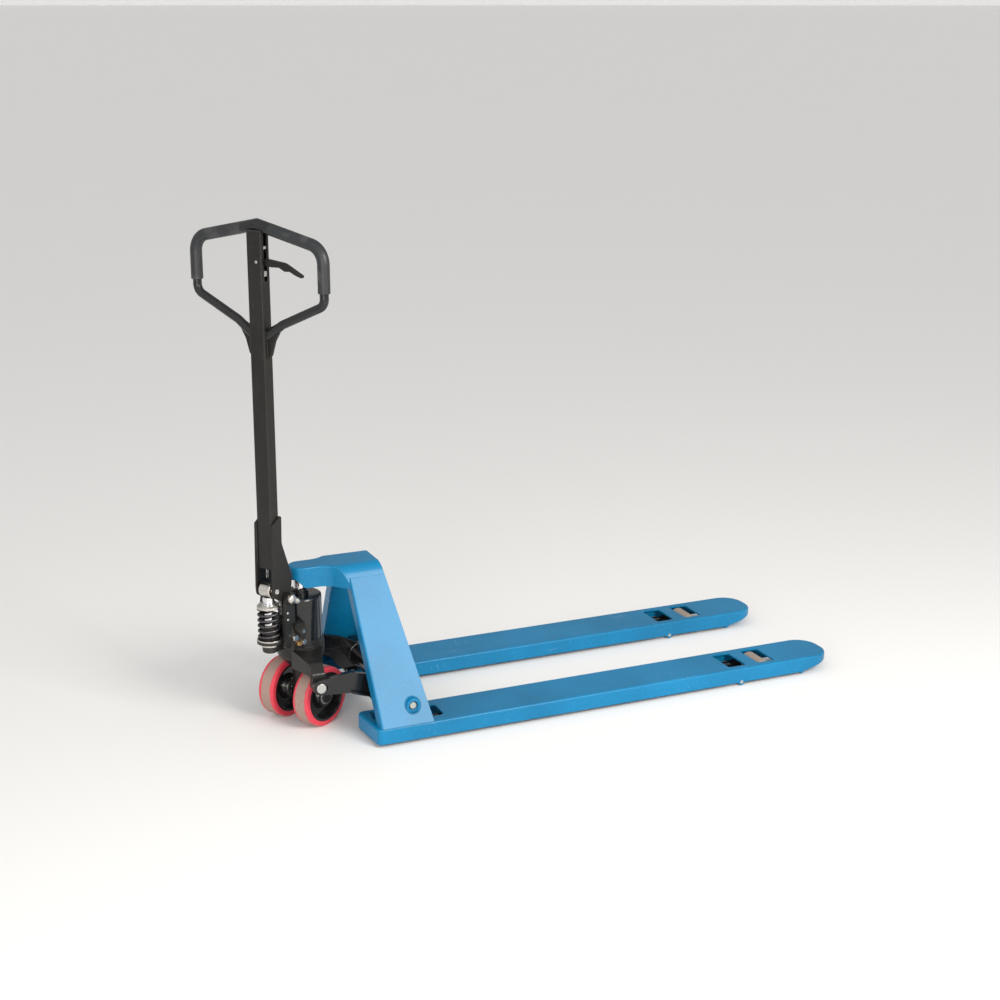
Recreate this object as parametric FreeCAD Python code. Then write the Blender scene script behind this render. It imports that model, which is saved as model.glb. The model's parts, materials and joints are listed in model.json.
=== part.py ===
import FreeCAD, Part
import math
import os

from FreeCAD import Vector

# Hand pallet jack. Working frame, mm: x = 0 at the heel of the forks and +X to
# the tips, +Y left, z = 0 at the floor. The model is shifted at the end so that
# its origin is the centre of its footprint.

# ---- forks -------------------------------------------------------------------
fork_length = 1368.0
overall_width = 550.0
fork_width = 142.0
fork_top = 51.0
fork_side_bottom = 10.0
fork_wall = 5.0
fork_edge_radius = 6.0
heel_radius = 14.0
tip_radius = 60.0
tip_taper_length = 102.0
tip_thickness = 17.0
window_length = 55.0
window_half_width = 49.5
window_corner = 8.0
linkage_window_lead = 2.5
roller_window_lag = 4.5
heel_slot_start = 10.0
heel_slot_end = 190.0
heel_slot_half_width = 37.0
heel_slot_corner = 15.0
load_face_start = 196.0
heel_outer_x = -5.0
heel_inner_x = -14.0
arm_notch_start = 14.0
arm_notch_end = 130.0
ear_radius = 9.0
ear_thickness = 10.0
ear_half_length = 24.0
skid_radius = 4.0

# ---- frame: legs and head ----------------------------------------------------
head_top = 428.0
plate = 7.0
leg_lean = math.radians(29.5)
leg_rear_bottom_x = 5.0
leg_front_bottom_x = 148.0
leg_rear_top_x = -8.0
leg_front_top_x = 85.0
leg_bend_radius = 38.0
leg_edge_radius = 5.0
flange_depth = 35.0
flange_thickness = 6.0
head_split_z = 398.0
nose_half_width = 34.0
nose_depth = 56.0
nose_wall = 6.0
nose_flare_slope = 1.1
nose_flare_x = -54.0
nose_bend_radius = 55.0
nose_tip_reach = 28.0
nose_cavity_end = -34.0
nose_scallop_x = -110.0
nose_scallop_rise = 27.0
nose_edge_radius = 5.0
stiffener_x = 42.0
stiffener_thickness = 6.0
stiffener_middle_z = 388.0
stiffener_middle_half = 45.0
stiffener_slope = 0.77
socket_radius = 24.0
socket_drop = 20.0
socket_depth = 12.0

# ---- lifting linkage -----------------------------------------------------------
shaft_x = 98.0
shaft_z = 95.0
shaft_radius = 12.0
shaft_boss_radius = 19.5
shaft_boss_length = 30.0
shaft_boss_edge = 3.0
shaft_boss_drop = 12.0
shaft_recess_radius = 13.0
shaft_recess = 6.0
shaft_end_chamfer = 3.5
rocker_tube_radius = 32.0
rocker_tube_reach = 12.0
rocker_bush_wall = 4.0
rocker_bush_length = 40.0
arm_inner_y = 150.0
arm_thickness = 12.0
arm_flange = 10.0
arm_flange_thickness = 6.0
arm_swell = 10.0
arm_swell_place = 0.62
arm_under = 26.0
arm_knee = 88.0
arm_knee_rise = 8.0
arm_eye_radius = 20.0
arm_slot_play = 7.5
arm_slot_side_play = 0.6
seat_pin_z = 144.0
seat_pin_radius = 10.0
seat_pin_head_radius = 13.0
seat_pin_head = 6.0
crank_radius = 65.0
crank_lean = math.radians(11.725)
crank_eye_radius = 14.0
crank_pin_radius = 8.0
crank_cheek = 10.0
rod_eye_width = 18.0
rod_radius = 8.5
rod_clevis_gap = 14.0
rod_clevis_cheek = 6.0
rod_clevis_top = 44.9
rod_clevis_clearance = 2.0
rod_mouth_margin = 10.5
rod_slot_play = 6.5
rod_slot_side_play = 0.6

# ---- load rollers and their frames ---------------------------------------------
roller_frame_length = 86.0
frame_pin_z = 10.5
frame_pin_radius = 5.0
frame_hub_radius = 9.0
frame_crank_radius = 23.17
frame_crank_lean = math.radians(34.75)
frame_link_pin_radius = 5.0
frame_link_eye_radius = 9.0
frame_lever_thickness = 12.0
frame_cheek = 9.0
frame_eye_radius = 13.0
load_roller_radius = 25.0
load_roller_width = 80.0
roller_setback = 213.0
load_roller_axle_radius = 8.0
load_bearing_radius = 17.5
load_bearing_width = 12.0
load_roller_edge = 4.0

# ---- steering unit: wheels, seat, pump -----------------------------------------
king_x = -118.0
steering_angle = 31.0
wheel_radius = 80.0
wheel_width = 50.0
wheel_spacing = 119.0
tyre_thickness = 14.0
tyre_edge = 5.0
rim_lip = 6.0
rim_web = 9.0
rim_hub_radius = 27.0
bearing_radius = 21.0
bearing_width = 14.0
axle_radius = 10.0
axle_cap_radius = 16.0
axle_cap = 4.0
stem_radius = 24.0
stem_bottom = 56.0
seat_bottom = 165.0
seat_floor = 196.0
seat_rim = 222.0
seat_rim_radius = 62.0
seat_foot_radius = 42.0
seat_wall = 4.4
lug_inner_y = 127.0
lug_outer_y = 147.0
lug_radius = 19.0
lug_half_width = 17.0
bearing_ring_inner = 30.0
bearing_ring_outer = 54.0
base_flange_radius = 56.5
base_plate_radius = 60.0
base_flange_top = 232.0
reservoir_radius = 57.0
reservoir_wall = 5.0
reservoir_top = 350.0
reservoir_chamfer = 5.0
cylinder_radius = 25.0
ram_radius = 17.0
ram_bottom = 240.0
gland_radius = 22.0
gland_flat_radius = 24.0
gland_height = 17.0
block_rear_u = -86.0
block_front_u = -20.0
block_half_width = 46.0
block_top = 292.0
plug_depth = 4.0
ear_column_rear_u = -106.0
ear_column_front_u = -72.0
ear_column_inner = 34.0
ear_column_outer = 44.0
ear_column_bottom = 236.0

# ---- pump piston, spring and handle -----------------------------------------------
plunger_u = -118.0
plunger_barrel_radius = 20.0
plunger_barrel_bottom = 224.0
plunger_barrel_top = 292.0
plunger_radius = 11.0
plunger_bottom = 280.0
plunger_bore_bottom = 228.0
spring_seat_radius = 33.0
spring_seat_z = 250.0
spring_seat_height = 8.0
spring_radius = 27.0
spring_wire = 3.4
spring_turns = 5.5
cap_radius = 30.5
cap_bottom = 345.0
cap_height = 9.0
button_radius = 15.0
pivot_u = -84.0
pivot_z = 367.0
pivot_radius = 8.0
pivot_boss_radius = 15.0
roller_u = -118.0
roller_z = 392.0
roller_radius = 18.0
roller_width = 36.0
roller_axle_radius = 7.0
cheek_inner = 24.5
cheek_thickness = 6.0
tube_u = -110.0
tube_depth = 31.0
tube_width = 48.0
tube_wall = 3.5
tube_corner = 5.0
tube_bottom = 450.0
loop_top = 1316.0
loop_radius = 11.0
loop_half_width = 207.0
loop_shoulder_z = 1281.0
loop_corner = 46.0
loop_elbow_z = 1138.0
loop_elbow_radius = 26.0
loop_knee_v = 72.0
loop_knee_z = 1079.0
loop_foot_z = 1046.0
grip_radius = 15.0
grip_bottom_z = 1168.0
grip_top_v = 44.0
lever_slot_bottom = 1180.0
lever_slot_top = 1300.0
lever_slot_width = 12.0
lever_pivot_v = -8.0
lever_pivot_z = 1228.0
lever_reach = 133.0
lever_thickness = 9.0
lever_pin_radius = 4.0
pull_rod_radius = 4.0
pull_rod_bottom = 470.0
pull_rod_v = 8.0
release_pivot_u = -52.0
release_pivot_z = 272.0
release_pin_radius = 5.0
release_thickness = 8.0

# ---- fits ------------------------------------------------------------------------
running = 0.05
side_gap = 0.5
joint_gap = 0.3
contact_gap = 0.1

# ---- values that follow ------------------------------------------------------------
half_width = overall_width / 2
fork_y = half_width - fork_width / 2
lean_run = math.tan(leg_lean)
frame_pin_half = fork_width / 2 - contact_gap
crank_x = shaft_x - crank_radius * math.sin(crank_lean)
crank_z = shaft_z - crank_radius * math.cos(crank_lean)
rocker_tube_half = fork_y + rocker_tube_reach
load_roller_x = fork_length - roller_setback
frame_pin_x = load_roller_x - roller_frame_length
linkage_window_x = frame_pin_x - linkage_window_lead
roller_window_x = load_roller_x + roller_window_lag
frame_link_x = frame_pin_x - frame_crank_radius * math.sin(frame_crank_lean)
frame_link_z = frame_pin_z + frame_crank_radius * math.cos(frame_crank_lean)
wheel_v = wheel_spacing / 2
wheel_inner_v = wheel_v - wheel_width / 2
wheel_outer_v = wheel_v + wheel_width / 2
axle_z = wheel_radius
frame_cheek_inner = load_roller_width / 2 + side_gap
SIDES = (("left", 1.0), ("right", -1.0))


def box(x0, x1, y0, y1, z0, z1):
    return Part.makeBox(x1 - x0, y1 - y0, z1 - z0, Vector(x0, y0, z0))


def rod_y(x, z, radius, y0, y1):
    return Part.makeCylinder(radius, y1 - y0, Vector(x, y0, z), Vector(0, 1, 0))


def rod_z(x, y, radius, z0, z1):
    return Part.makeCylinder(radius, z1 - z0, Vector(x, y, z0), Vector(0, 0, 1))


def rod_x(y, z, radius, x0, x1):
    return Part.makeCylinder(radius, x1 - x0, Vector(x0, y, z), Vector(1, 0, 0))


def rounded_edges(points, radii, closed):
    """Edges of a path through points, with an arc of each radius at each corner."""
    count = len(points)
    corners = []
    for i, point in enumerate(points):
        is_end = not closed and i in (0, count - 1)
        if is_end or radii[i] == 0:
            corners.append((point, None, point))
            continue
        back = (points[i - 1] - point).normalize()
        ahead = (points[(i + 1) % count] - point).normalize()
        half_angle = back.getAngle(ahead) / 2
        reach = radii[i] / math.tan(half_angle)
        inward = (back + ahead).normalize()
        middle = point + inward * (radii[i] / math.sin(half_angle) - radii[i])
        corners.append((point + back * reach, middle, point + ahead * reach))
    edges = []
    for i, (start, middle, end) in enumerate(corners):
        if middle is not None:
            edges.append(Part.Arc(start, middle, end).toShape())
        if i < count - 1 or closed:
            following = corners[(i + 1) % count][0]
            if end.distanceToPoint(following) > 1e-6:
                edges.append(Part.LineSegment(end, following).toShape())
    return edges


def prism(points, radii, push):
    """Solid made by pushing a closed outline with rounded corners along a vector."""
    wire = Part.Wire(rounded_edges(points, radii, True))
    return Part.Face(wire).extrude(push)


def side_plate(outline, y0, y1, radii=None):
    """Plate whose outline is in X and Z, between two Y values."""
    points = [Vector(x, y0, z) for x, z in outline]
    return prism(points, radii or [0] * len(points), Vector(0, y1 - y0, 0))


def plan_plate(outline, z0, z1, radii=None):
    """Plate whose outline is in X and Y, between two Z values."""
    points = [Vector(x, y, z0) for x, y in outline]
    return prism(points, radii or [0] * len(points), Vector(0, 0, z1 - z0))


def front_plate(outline, x0, x1, radii=None):
    """Plate whose outline is in Y and Z, between two X values."""
    points = [Vector(x0, y, z) for y, z in outline]
    return prism(points, radii or [0] * len(points), Vector(x1 - x0, 0, 0))


def turned(profile, base, direction, out):
    """Ring or disc turned about an axis: profile pairs are (radius, distance along)."""
    points = [base + out * r + direction * a for r, a in profile]
    wire = Part.makePolygon(points + [points[0]])
    return Part.Face(wire).revolve(base, direction, 360)


def turned_z(profile, x, y):
    return turned(profile, Vector(x, y, 0), Vector(0, 0, 1), Vector(1, 0, 0))


def turned_y(profile, x, z):
    return turned(profile, Vector(x, 0, z), Vector(0, 1, 0), Vector(1, 0, 0))


def ring_z(x, y, outer, inner, z0, z1):
    return rod_z(x, y, outer, z0, z1).cut(rod_z(x, y, inner, z0 - 1, z1 + 1))


def ring_y(x, z, outer, inner, y0, y1):
    return rod_y(x, z, outer, y0, y1).cut(rod_y(x, z, inner, y0 - 1, y1 + 1))


def join(first, *others):
    shape = first
    for other in others:
        shape = shape.fuse(other)
    return shape.removeSplitter()


def top_edges(shape, z):
    """Edges that lie wholly at one height."""
    return [e for e in shape.Edges if abs(e.BoundBox.ZMin - z) < 0.01 and abs(e.BoundBox.ZMax - z) < 0.01]


def group(shapes):
    return Part.makeCompound(shapes)


# ---- forks --------------------------------------------------------------------------
def fork(side):
    """Pressed channel with a closed heel, a tapered tip, two windows and a heel slot.

    The top is two faces: one round the leg and one ahead of it that carries the load.
    """
    half = fork_width / 2
    rear = [heel_inner_x, heel_outer_x] if side > 0 else [heel_outer_x, heel_inner_x]
    outline = [(rear[0], -half), (fork_length, -half), (fork_length, half), (rear[1], half)]
    corners = [heel_radius, tip_radius, tip_radius, heel_radius]
    body = plan_plate(outline, fork_side_bottom, fork_top, corners)
    body = body.makeFillet(fork_edge_radius, top_edges(body, fork_top))
    taper_start = fork_length - tip_taper_length
    tip_under = fork_top - tip_thickness
    wedge = [(taper_start, fork_side_bottom), (fork_length, tip_under)]
    wedge += [(fork_length + 1, tip_under), (fork_length + 1, 0), (taper_start, 0)]
    body = body.cut(side_plate(wedge, -half - 1, half + 1))
    inner_half = half - fork_wall
    cavity = [(rear[0] + fork_wall, -inner_half), (taper_start, -inner_half)]
    cavity += [(taper_start, inner_half), (rear[1] + fork_wall, inner_half)]
    cavity_corners = [heel_radius - fork_wall, 0, 0, heel_radius - fork_wall]
    body = body.cut(plan_plate(cavity, 0, fork_top - fork_wall, cavity_corners))
    for x in (linkage_window_x, roller_window_x):
        body = body.cut(window(x - window_length / 2, x + window_length / 2, window_half_width,
            window_corner))
    body = body.cut(window(heel_slot_start, heel_slot_end, heel_slot_half_width, heel_slot_corner))
    arm_side = -side
    notch_in = heel_slot_half_width - fork_wall
    notch_out = fork_y - arm_inner_y + 4
    ys = sorted((arm_side * notch_in, arm_side * notch_out))
    body = body.cut(box(arm_notch_start, arm_notch_end, ys[0], ys[1], fork_top - fork_wall - 1,
        fork_top + 1))
    for ear_side in (-1, 1):
        ys = sorted((ear_side * half, ear_side * (half - ear_thickness)))
        web = [(frame_pin_x - ear_radius, frame_pin_z), (frame_pin_x + ear_radius, frame_pin_z)]
        web += [(frame_pin_x + ear_half_length, fork_side_bottom + ear_radius)]
        web += [(frame_pin_x + ear_half_length, fork_top - fork_edge_radius)]
        web += [(frame_pin_x - ear_half_length, fork_top - fork_edge_radius)]
        web += [(frame_pin_x - ear_half_length, fork_side_bottom + ear_radius)]
        body = body.fuse(rod_y(frame_pin_x, frame_pin_z, ear_radius, ys[0], ys[1]))
        body = body.fuse(side_plate(web, ys[0], ys[1]))
    body = body.cut(rod_y(frame_pin_x, frame_pin_z, frame_pin_radius, -half - 1, half + 1))
    body = body.removeSplitter()
    heel_room = box(heel_inner_x - 1, load_face_start, -half - 1, half + 1, -1, fork_top + 1)
    body = body.common(heel_room).fuse(body.cut(heel_room))
    body.translate(Vector(0, side * fork_y, 0))
    return body


def window(x0, x1, half, corner):
    """Cutter for a rounded opening in the fork's top."""
    outline = [(x0, -half), (x1, -half), (x1, half), (x0, half)]
    return plan_plate(outline, fork_top - fork_wall - 1, fork_top + 1, [corner] * 4)


def entry_skid(side):
    """Round bar under the start of the tip's taper, that rides up on a pallet board."""
    x = fork_length - tip_taper_length + skid_radius
    half = fork_width / 2 - fork_edge_radius
    y = side * fork_y
    return rod_y(x, fork_side_bottom - skid_radius + contact_gap, skid_radius, y - half, y + half)


# ---- frame ----------------------------------------------------------------------------
def arch(inset, x0, x1):
    """Solid under the bent frame plate, its surface moved inward by inset."""
    shift = inset / math.cos(leg_lean)
    top = head_top - inset
    foot_y = half_width - shift
    top_y = foot_y - lean_run * (top - fork_top)
    outline = [(-foot_y, fork_top), (-top_y, top), (top_y, top), (foot_y, fork_top)]
    bend = max(leg_bend_radius - inset, 1.0)
    return front_plate(outline, x0, x1, [0, bend, bend, 0])


def frame_slab(x_bottom_0, x_bottom_1, x_top_0, x_top_1):
    outline = [(x_bottom_0, fork_top), (x_bottom_1, fork_top), (x_top_1, head_top), (x_top_0, head_top)]
    return side_plate(outline, -half_width, half_width)


def frame_shell():
    """The bent plate of legs and head, with flanges folded in along both edges."""
    far = 400.0
    skin = arch(0, -far, far).cut(arch(plate, -far - 1, far + 1))
    skin = skin.common(frame_slab(leg_rear_bottom_x, leg_front_bottom_x, leg_rear_top_x, leg_front_top_x))
    fold = arch(plate, -far, far).cut(arch(flange_depth, -far - 1, far + 1))
    t = flange_thickness
    rear = fold.common(frame_slab(leg_rear_bottom_x, leg_rear_bottom_x + t, leg_rear_top_x,
        leg_rear_top_x + t))
    front = fold.common(frame_slab(leg_front_bottom_x - t, leg_front_bottom_x, leg_front_top_x - t,
        leg_front_top_x))
    return join(skin, rear, front)


def nose_outline(inset):
    w = nose_half_width - inset
    mouth_x = leg_rear_top_x + flange_thickness
    flare = (mouth_x - nose_flare_x) * nose_flare_slope
    tip = king_x - nose_tip_reach + inset
    outline = [(mouth_x, -w - flare), (nose_flare_x, -w), (tip, -w)]
    outline += [(tip, w), (nose_flare_x, w), (mouth_x, w + flare)]
    radii = [0, nose_bend_radius, w - contact_gap, w - contact_gap, nose_bend_radius, 0]
    return outline, radii


def head():
    """Top of the frame and the nose that reaches back over the ram."""
    far = 400.0
    outline, radii = nose_outline(0)
    nose = plan_plate(outline, head_top - nose_depth, head_top, radii)
    nose = nose.makeFillet(nose_edge_radius, [e for e in top_edges(nose,
        head_top) if e.BoundBox.XMin < leg_rear_top_x])
    outline, radii = nose_outline(nose_wall)
    cavity = plan_plate(outline, head_top - nose_depth - 1, head_top - plate, radii)
    nose = nose.cut(cavity.common(box(-far, nose_cavity_end, -half_width, half_width, 0, head_top)))
    low = head_top - nose_depth
    scallop = [(nose_scallop_x, low - 1), (-far, low - 1), (-far, low + nose_scallop_rise)]
    scallop += [(king_x - nose_tip_reach + 8, low + nose_scallop_rise), (nose_scallop_x, low)]
    nose = nose.cut(side_plate(scallop, -half_width, half_width, [0, 0, 0, 12, 0]))
    nose = nose.cut(rod_z(king_x, 0, socket_radius, 0, head_top - plate))
    nose = nose.common(arch(0, -far, far))
    overlap_x = leg_rear_top_x + flange_thickness / 2
    nose = nose.common(box(-far, overlap_x, -half_width, half_width, 0, head_top + 1))
    frame = frame_shell()
    nose = nose.cut(frame.common(box(-far, far, -half_width, half_width, 0, head_split_z)))
    shell = frame.common(box(-far, far, -half_width, half_width, head_split_z, head_top + 1))
    return join(shell, nose)


def leg(side):
    """One leaning leg, folded at both edges, with the hole for the rocker shaft's boss."""
    far = 400.0
    y0, y1 = sorted((0, side * half_width))
    body = frame_shell().common(box(-far, far, y0, y1, fork_top, head_split_z))
    along = Vector(0, -side * math.sin(leg_lean), math.cos(leg_lean))
    outer = [e for e in body.Edges if is_outer_edge(e, side, along)]
    body = body.makeFillet(leg_edge_radius, outer)
    return body.cut(rod_y(shaft_x, shaft_z, shaft_boss_radius, -half_width, half_width))


def is_outer_edge(edge, side, along):
    """Whether a long edge runs up the leg on its outer face."""
    if edge.Length < head_split_z - fork_top - 50 or abs(edge.tangentAt(0).dot(along)) < 0.99:
        return False
    middle = edge.BoundBox.Center
    face_y = side * (half_width - lean_run * (middle.z - fork_top))
    return abs(middle.y - face_y) < 0.5


def shaft_boss(side):
    """Ring welded through the leg, that holds the end of the rocker shaft."""
    outer = half_width - lean_run * (shaft_z - shaft_boss_drop - fork_top)
    y0 = outer - shaft_boss_length
    boss = rod_y(shaft_x, shaft_z, shaft_boss_radius, y0, outer)
    boss = boss.makeFillet(shaft_boss_edge,
        [e for e in boss.Edges if e.Closed and e.BoundBox.YMin > outer - 1])
    boss = boss.cut(rod_y(shaft_x, shaft_z, shaft_radius, y0 - 1, outer + 1))
    boss = boss.cut(rod_y(shaft_x, shaft_z, shaft_recess_radius, outer - shaft_recess, outer + 1))
    return boss if side > 0 else boss.mirror(Vector(0, 0, 0), Vector(0, 1, 0))


def rocker_shaft():
    half = half_width - lean_run * (shaft_z - shaft_boss_drop - fork_top) - shaft_recess + 2
    shape = rod_y(shaft_x, shaft_z, shaft_radius, -half, half)
    return shape.makeChamfer(shaft_end_chamfer, [e for e in shape.Edges if e.Closed])


def head_stiffener():
    """Cross plate under the head, deepest where it meets the legs."""
    x1 = stiffener_x + stiffener_thickness
    inner = arch(plate, stiffener_x, x1)
    low = stiffener_middle_z - stiffener_slope * (half_width - stiffener_middle_half)
    outline = [(-half_width, head_top), (-half_width, low), (-stiffener_middle_half, stiffener_middle_z)]
    outline += [(stiffener_middle_half, stiffener_middle_z), (half_width, low), (half_width, head_top)]
    return inner.common(front_plate(outline, stiffener_x, x1))


def ram_socket():
    """Boss inside the nose that sits on the top of the ram."""
    z0 = head_top - nose_depth + socket_drop
    boss = rod_z(king_x, 0, socket_radius, z0, head_top - plate)
    return boss.cut(rod_z(king_x, 0, ram_radius + running, z0 - 1, z0 + socket_depth))


# ---- linkage ------------------------------------------------------------------------------
def rocker():
    """Cross tube on the shaft, with two long arms to the seat and two short cranks."""
    tube = rod_y(shaft_x, shaft_z, rocker_tube_radius, -rocker_tube_half, rocker_tube_half)
    shape = tube
    arm_length = shaft_x - king_x
    rise = seat_pin_z - shaft_z
    for _, s in SIDES:
        y0, y1 = sorted((s * arm_inner_y, s * (arm_inner_y + arm_thickness)))
        shape = shape.fuse(rod_y(king_x, seat_pin_z, arm_eye_radius, y0, y1))
        r = arm_eye_radius
        knee_x = shaft_x - arm_knee
        knee_z = shaft_z + arm_knee_rise
        front_x = shaft_x - arm_length * arm_swell_place
        under_z = seat_pin_z - arm_under
        outline = [(king_x, seat_pin_z + r), (front_x, seat_pin_z + r + arm_swell)]
        outline += [(shaft_x - arm_length * 0.25, shaft_z + rise + arm_swell), (shaft_x,
            shaft_z + rocker_tube_radius)]
        outline += [(shaft_x, shaft_z - rocker_tube_radius), (shaft_x - 53, shaft_z - 35)]
        outline += [(shaft_x - 70, shaft_z - 20), (knee_x, knee_z), (front_x, under_z), (king_x,
            seat_pin_z - r)]
        radii = [0, 60, 60, 0, 0, 14, 14, 30, 60, 0]
        shape = shape.fuse(side_plate(outline, y0, y1, radii))
        lip0, lip1 = sorted((s * (arm_inner_y - arm_flange),
            s * (arm_inner_y + arm_thickness + arm_flange)))
        lip = [(front_x, under_z), (knee_x, knee_z), (knee_x, knee_z + arm_flange_thickness)]
        lip += [(front_x, under_z + arm_flange_thickness)]
        shape = shape.fuse(side_plate(lip, lip0, lip1))
        for k in (-1, 1):
            inner = fork_y + k * (rod_eye_width / 2 + side_gap)
            ys = sorted((s * inner, s * (inner + k * crank_cheek)))
            crank = [(shaft_x - 24, shaft_z - 12), (crank_x - crank_eye_radius, crank_z)]
            crank += [(crank_x + crank_eye_radius, crank_z), (shaft_x + 24, shaft_z - 12)]
            shape = shape.fuse(side_plate(crank, ys[0], ys[1]))
            shape = shape.fuse(rod_y(crank_x, crank_z, crank_eye_radius, ys[0], ys[1]))
    shape = shape.removeSplitter()
    far = half_width
    bush = shaft_radius + running + rocker_bush_wall
    shape = shape.cut(rod_y(shaft_x, shaft_z, bush, -far, far))
    shape = shape.cut(rod_y(crank_x, crank_z, crank_pin_radius, -far, far))
    hole = seat_pin_radius + arm_slot_side_play
    slot = rod_y(king_x, seat_pin_z, hole, -far, far)
    toward = Vector(shaft_x - king_x, 0, shaft_z - seat_pin_z).normalize() * arm_slot_play
    side = Vector(-toward.z, 0, toward.x).normalize() * hole
    start = Vector(king_x, -far, seat_pin_z)
    outline = [start + side, start + toward + side, start + toward - side, start - side]
    slot = slot.fuse(prism(outline, [0] * 4, Vector(0, 2 * far, 0)))
    slot = slot.fuse(rod_y(king_x + toward.x, seat_pin_z + toward.z, hole, -far, far))
    return shape.cut(slot)


def rocker_bushes():
    rings = []
    for _, s in SIDES:
        y0, y1 = sorted((s * rocker_tube_half, s * (rocker_tube_half - rocker_bush_length)))
        inner = shaft_radius + running
        rings.append(ring_y(shaft_x, shaft_z, inner + rocker_bush_wall, inner, y0, y1))
    return group(rings)


def crank_pins():
    half = rod_eye_width / 2 + side_gap + crank_cheek + 1
    pins = []
    for _, s in SIDES:
        pins.append(rod_y(crank_x, crank_z, crank_pin_radius, s * fork_y - half, s * fork_y + half))
    return group(pins)


def push_rod(side):
    """Tube from the rocker's crank to the load roller's frame, an eye behind, a clevis ahead."""
    y = side * fork_y
    eye_half = rod_eye_width / 2
    eye = rod_y(crank_x, crank_z, crank_eye_radius, y - eye_half, y + eye_half)
    clevis_back = frame_link_x - 38
    shank = rod_x(y, crank_z, rod_radius, crank_x, clevis_back)
    outer = rod_clevis_gap / 2 + rod_clevis_cheek
    bottom = frame_pin_z + frame_hub_radius + rod_clevis_clearance
    front = frame_link_x + frame_link_eye_radius + 1
    clevis = box(clevis_back - 14, front, y - outer, y + outer, bottom, rod_clevis_top)
    clevis = clevis.makeFillet(3, [e for e in clevis.Edges if abs(e.tangentAt(0).x) > 0.99])
    rod = join(shank, eye, clevis)
    gap = rod_clevis_gap / 2
    mouth_back = frame_link_x - frame_link_eye_radius - rod_mouth_margin
    rod = rod.cut(box(mouth_back, front + 1, y - gap, y + gap, bottom - 1, rod_clevis_top + 1))
    rod = rod.cut(rod_y(crank_x, crank_z, crank_pin_radius + running, y - outer - 9, y + outer + 9))
    pin = frame_link_pin_radius + rod_slot_side_play
    low = min(frame_link_z, crank_z)
    slot = [(frame_link_x - pin, low - pin), (frame_link_x + pin, low - pin)]
    slot += [(frame_link_x + pin, low + pin + rod_slot_play), (frame_link_x - pin,
        low + pin + rod_slot_play)]
    return rod.cut(side_plate(slot, y - outer - 1, y + outer + 1, [pin - 0.1] * 4))


# ---- load roller frames -----------------------------------------------------------------------
def roller_frame(side):
    """Two cheeks that carry the load roller, a hub on the fork's pin and a lever above it."""
    y = side * fork_y
    inner = frame_cheek_inner
    outer = inner + frame_cheek
    hub = rod_y(frame_pin_x, frame_pin_z, frame_hub_radius, y - outer, y + outer)
    shape = hub
    for k in (-1, 1):
        ys = sorted((y + k * inner, y + k * outer))
        bar = [(frame_pin_x, frame_pin_z + frame_hub_radius), (frame_pin_x, frame_pin_z - frame_hub_radius)]
        bar += [(load_roller_x, load_roller_radius - frame_eye_radius)]
        bar += [(load_roller_x, load_roller_radius + frame_eye_radius)]
        shape = shape.fuse(side_plate(bar, ys[0], ys[1]))
        shape = shape.fuse(rod_y(load_roller_x, load_roller_radius, frame_eye_radius, ys[0], ys[1]))
    half = frame_lever_thickness / 2
    along = Vector(frame_link_x - frame_pin_x, 0, frame_link_z - frame_pin_z)
    across = Vector(-along.z, 0, along.x).normalize() * frame_link_eye_radius
    root = Vector(frame_pin_x, y - half, frame_pin_z)
    lever = [root + across, root + along + across, root + along - across, root - across]
    shape = shape.fuse(prism(lever, [0] * 4, Vector(0, 2 * half, 0)))
    shape = shape.fuse(rod_y(frame_link_x, frame_link_z, frame_link_eye_radius, y - half, y + half))
    pin_half = rod_clevis_gap / 2 + rod_clevis_cheek + 1.5
    shape = shape.fuse(rod_y(frame_link_x, frame_link_z, frame_link_pin_radius, y - pin_half, y + pin_half))
    shape = shape.removeSplitter()
    shape = shape.cut(rod_y(frame_pin_x, frame_pin_z, frame_pin_radius + running, y - outer - 1,
        y + outer + 1))
    return shape.cut(rod_y(load_roller_x, load_roller_radius, load_roller_axle_radius,
        y - outer - 1, y + outer + 1))


def load_roller_axle(side):
    y = side * fork_y
    half = frame_cheek_inner + frame_cheek + 1
    return rod_y(load_roller_x, load_roller_radius, load_roller_axle_radius, y - half, y + half)


def load_roller(side):
    """Polyurethane-faced roller, bored for a bearing at each end."""
    r = load_roller_radius
    h = load_roller_width / 2
    e = load_roller_edge
    bore = load_bearing_radius - 3
    profile = [(bore, -h), (r - e, -h), (r - e * 0.3, -h + e * 0.3), (r, -h + e), (r, h - e)]
    profile += [(r - e * 0.3, h - e * 0.3), (r - e, h), (bore, h)]
    shape = turned_y(profile, load_roller_x, load_roller_radius)
    for k in (-1, 1):
        ys = sorted((k * (h + 1), k * (h - load_bearing_width)))
        shape = shape.cut(rod_y(load_roller_x, load_roller_radius, load_bearing_radius, ys[0], ys[1]))
    shape.translate(Vector(0, side * fork_y, 0))
    return shape


def roller_bearings(side):
    rings = []
    h = load_roller_width / 2
    for k in (-1, 1):
        ys = sorted((side * fork_y + k * h, side * fork_y + k * (h - load_bearing_width)))
        inner = load_roller_axle_radius + running
        rings.append(ring_y(load_roller_x, load_roller_radius, load_bearing_radius, inner, ys[0], ys[1]))
    return group(rings)


def frame_pivot_pins():
    pins = []
    for _, s in SIDES:
        y = s * fork_y
        pins.append(rod_y(frame_pin_x, frame_pin_z, frame_pin_radius, y - frame_pin_half,
            y + frame_pin_half))
    return group(pins)


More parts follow.
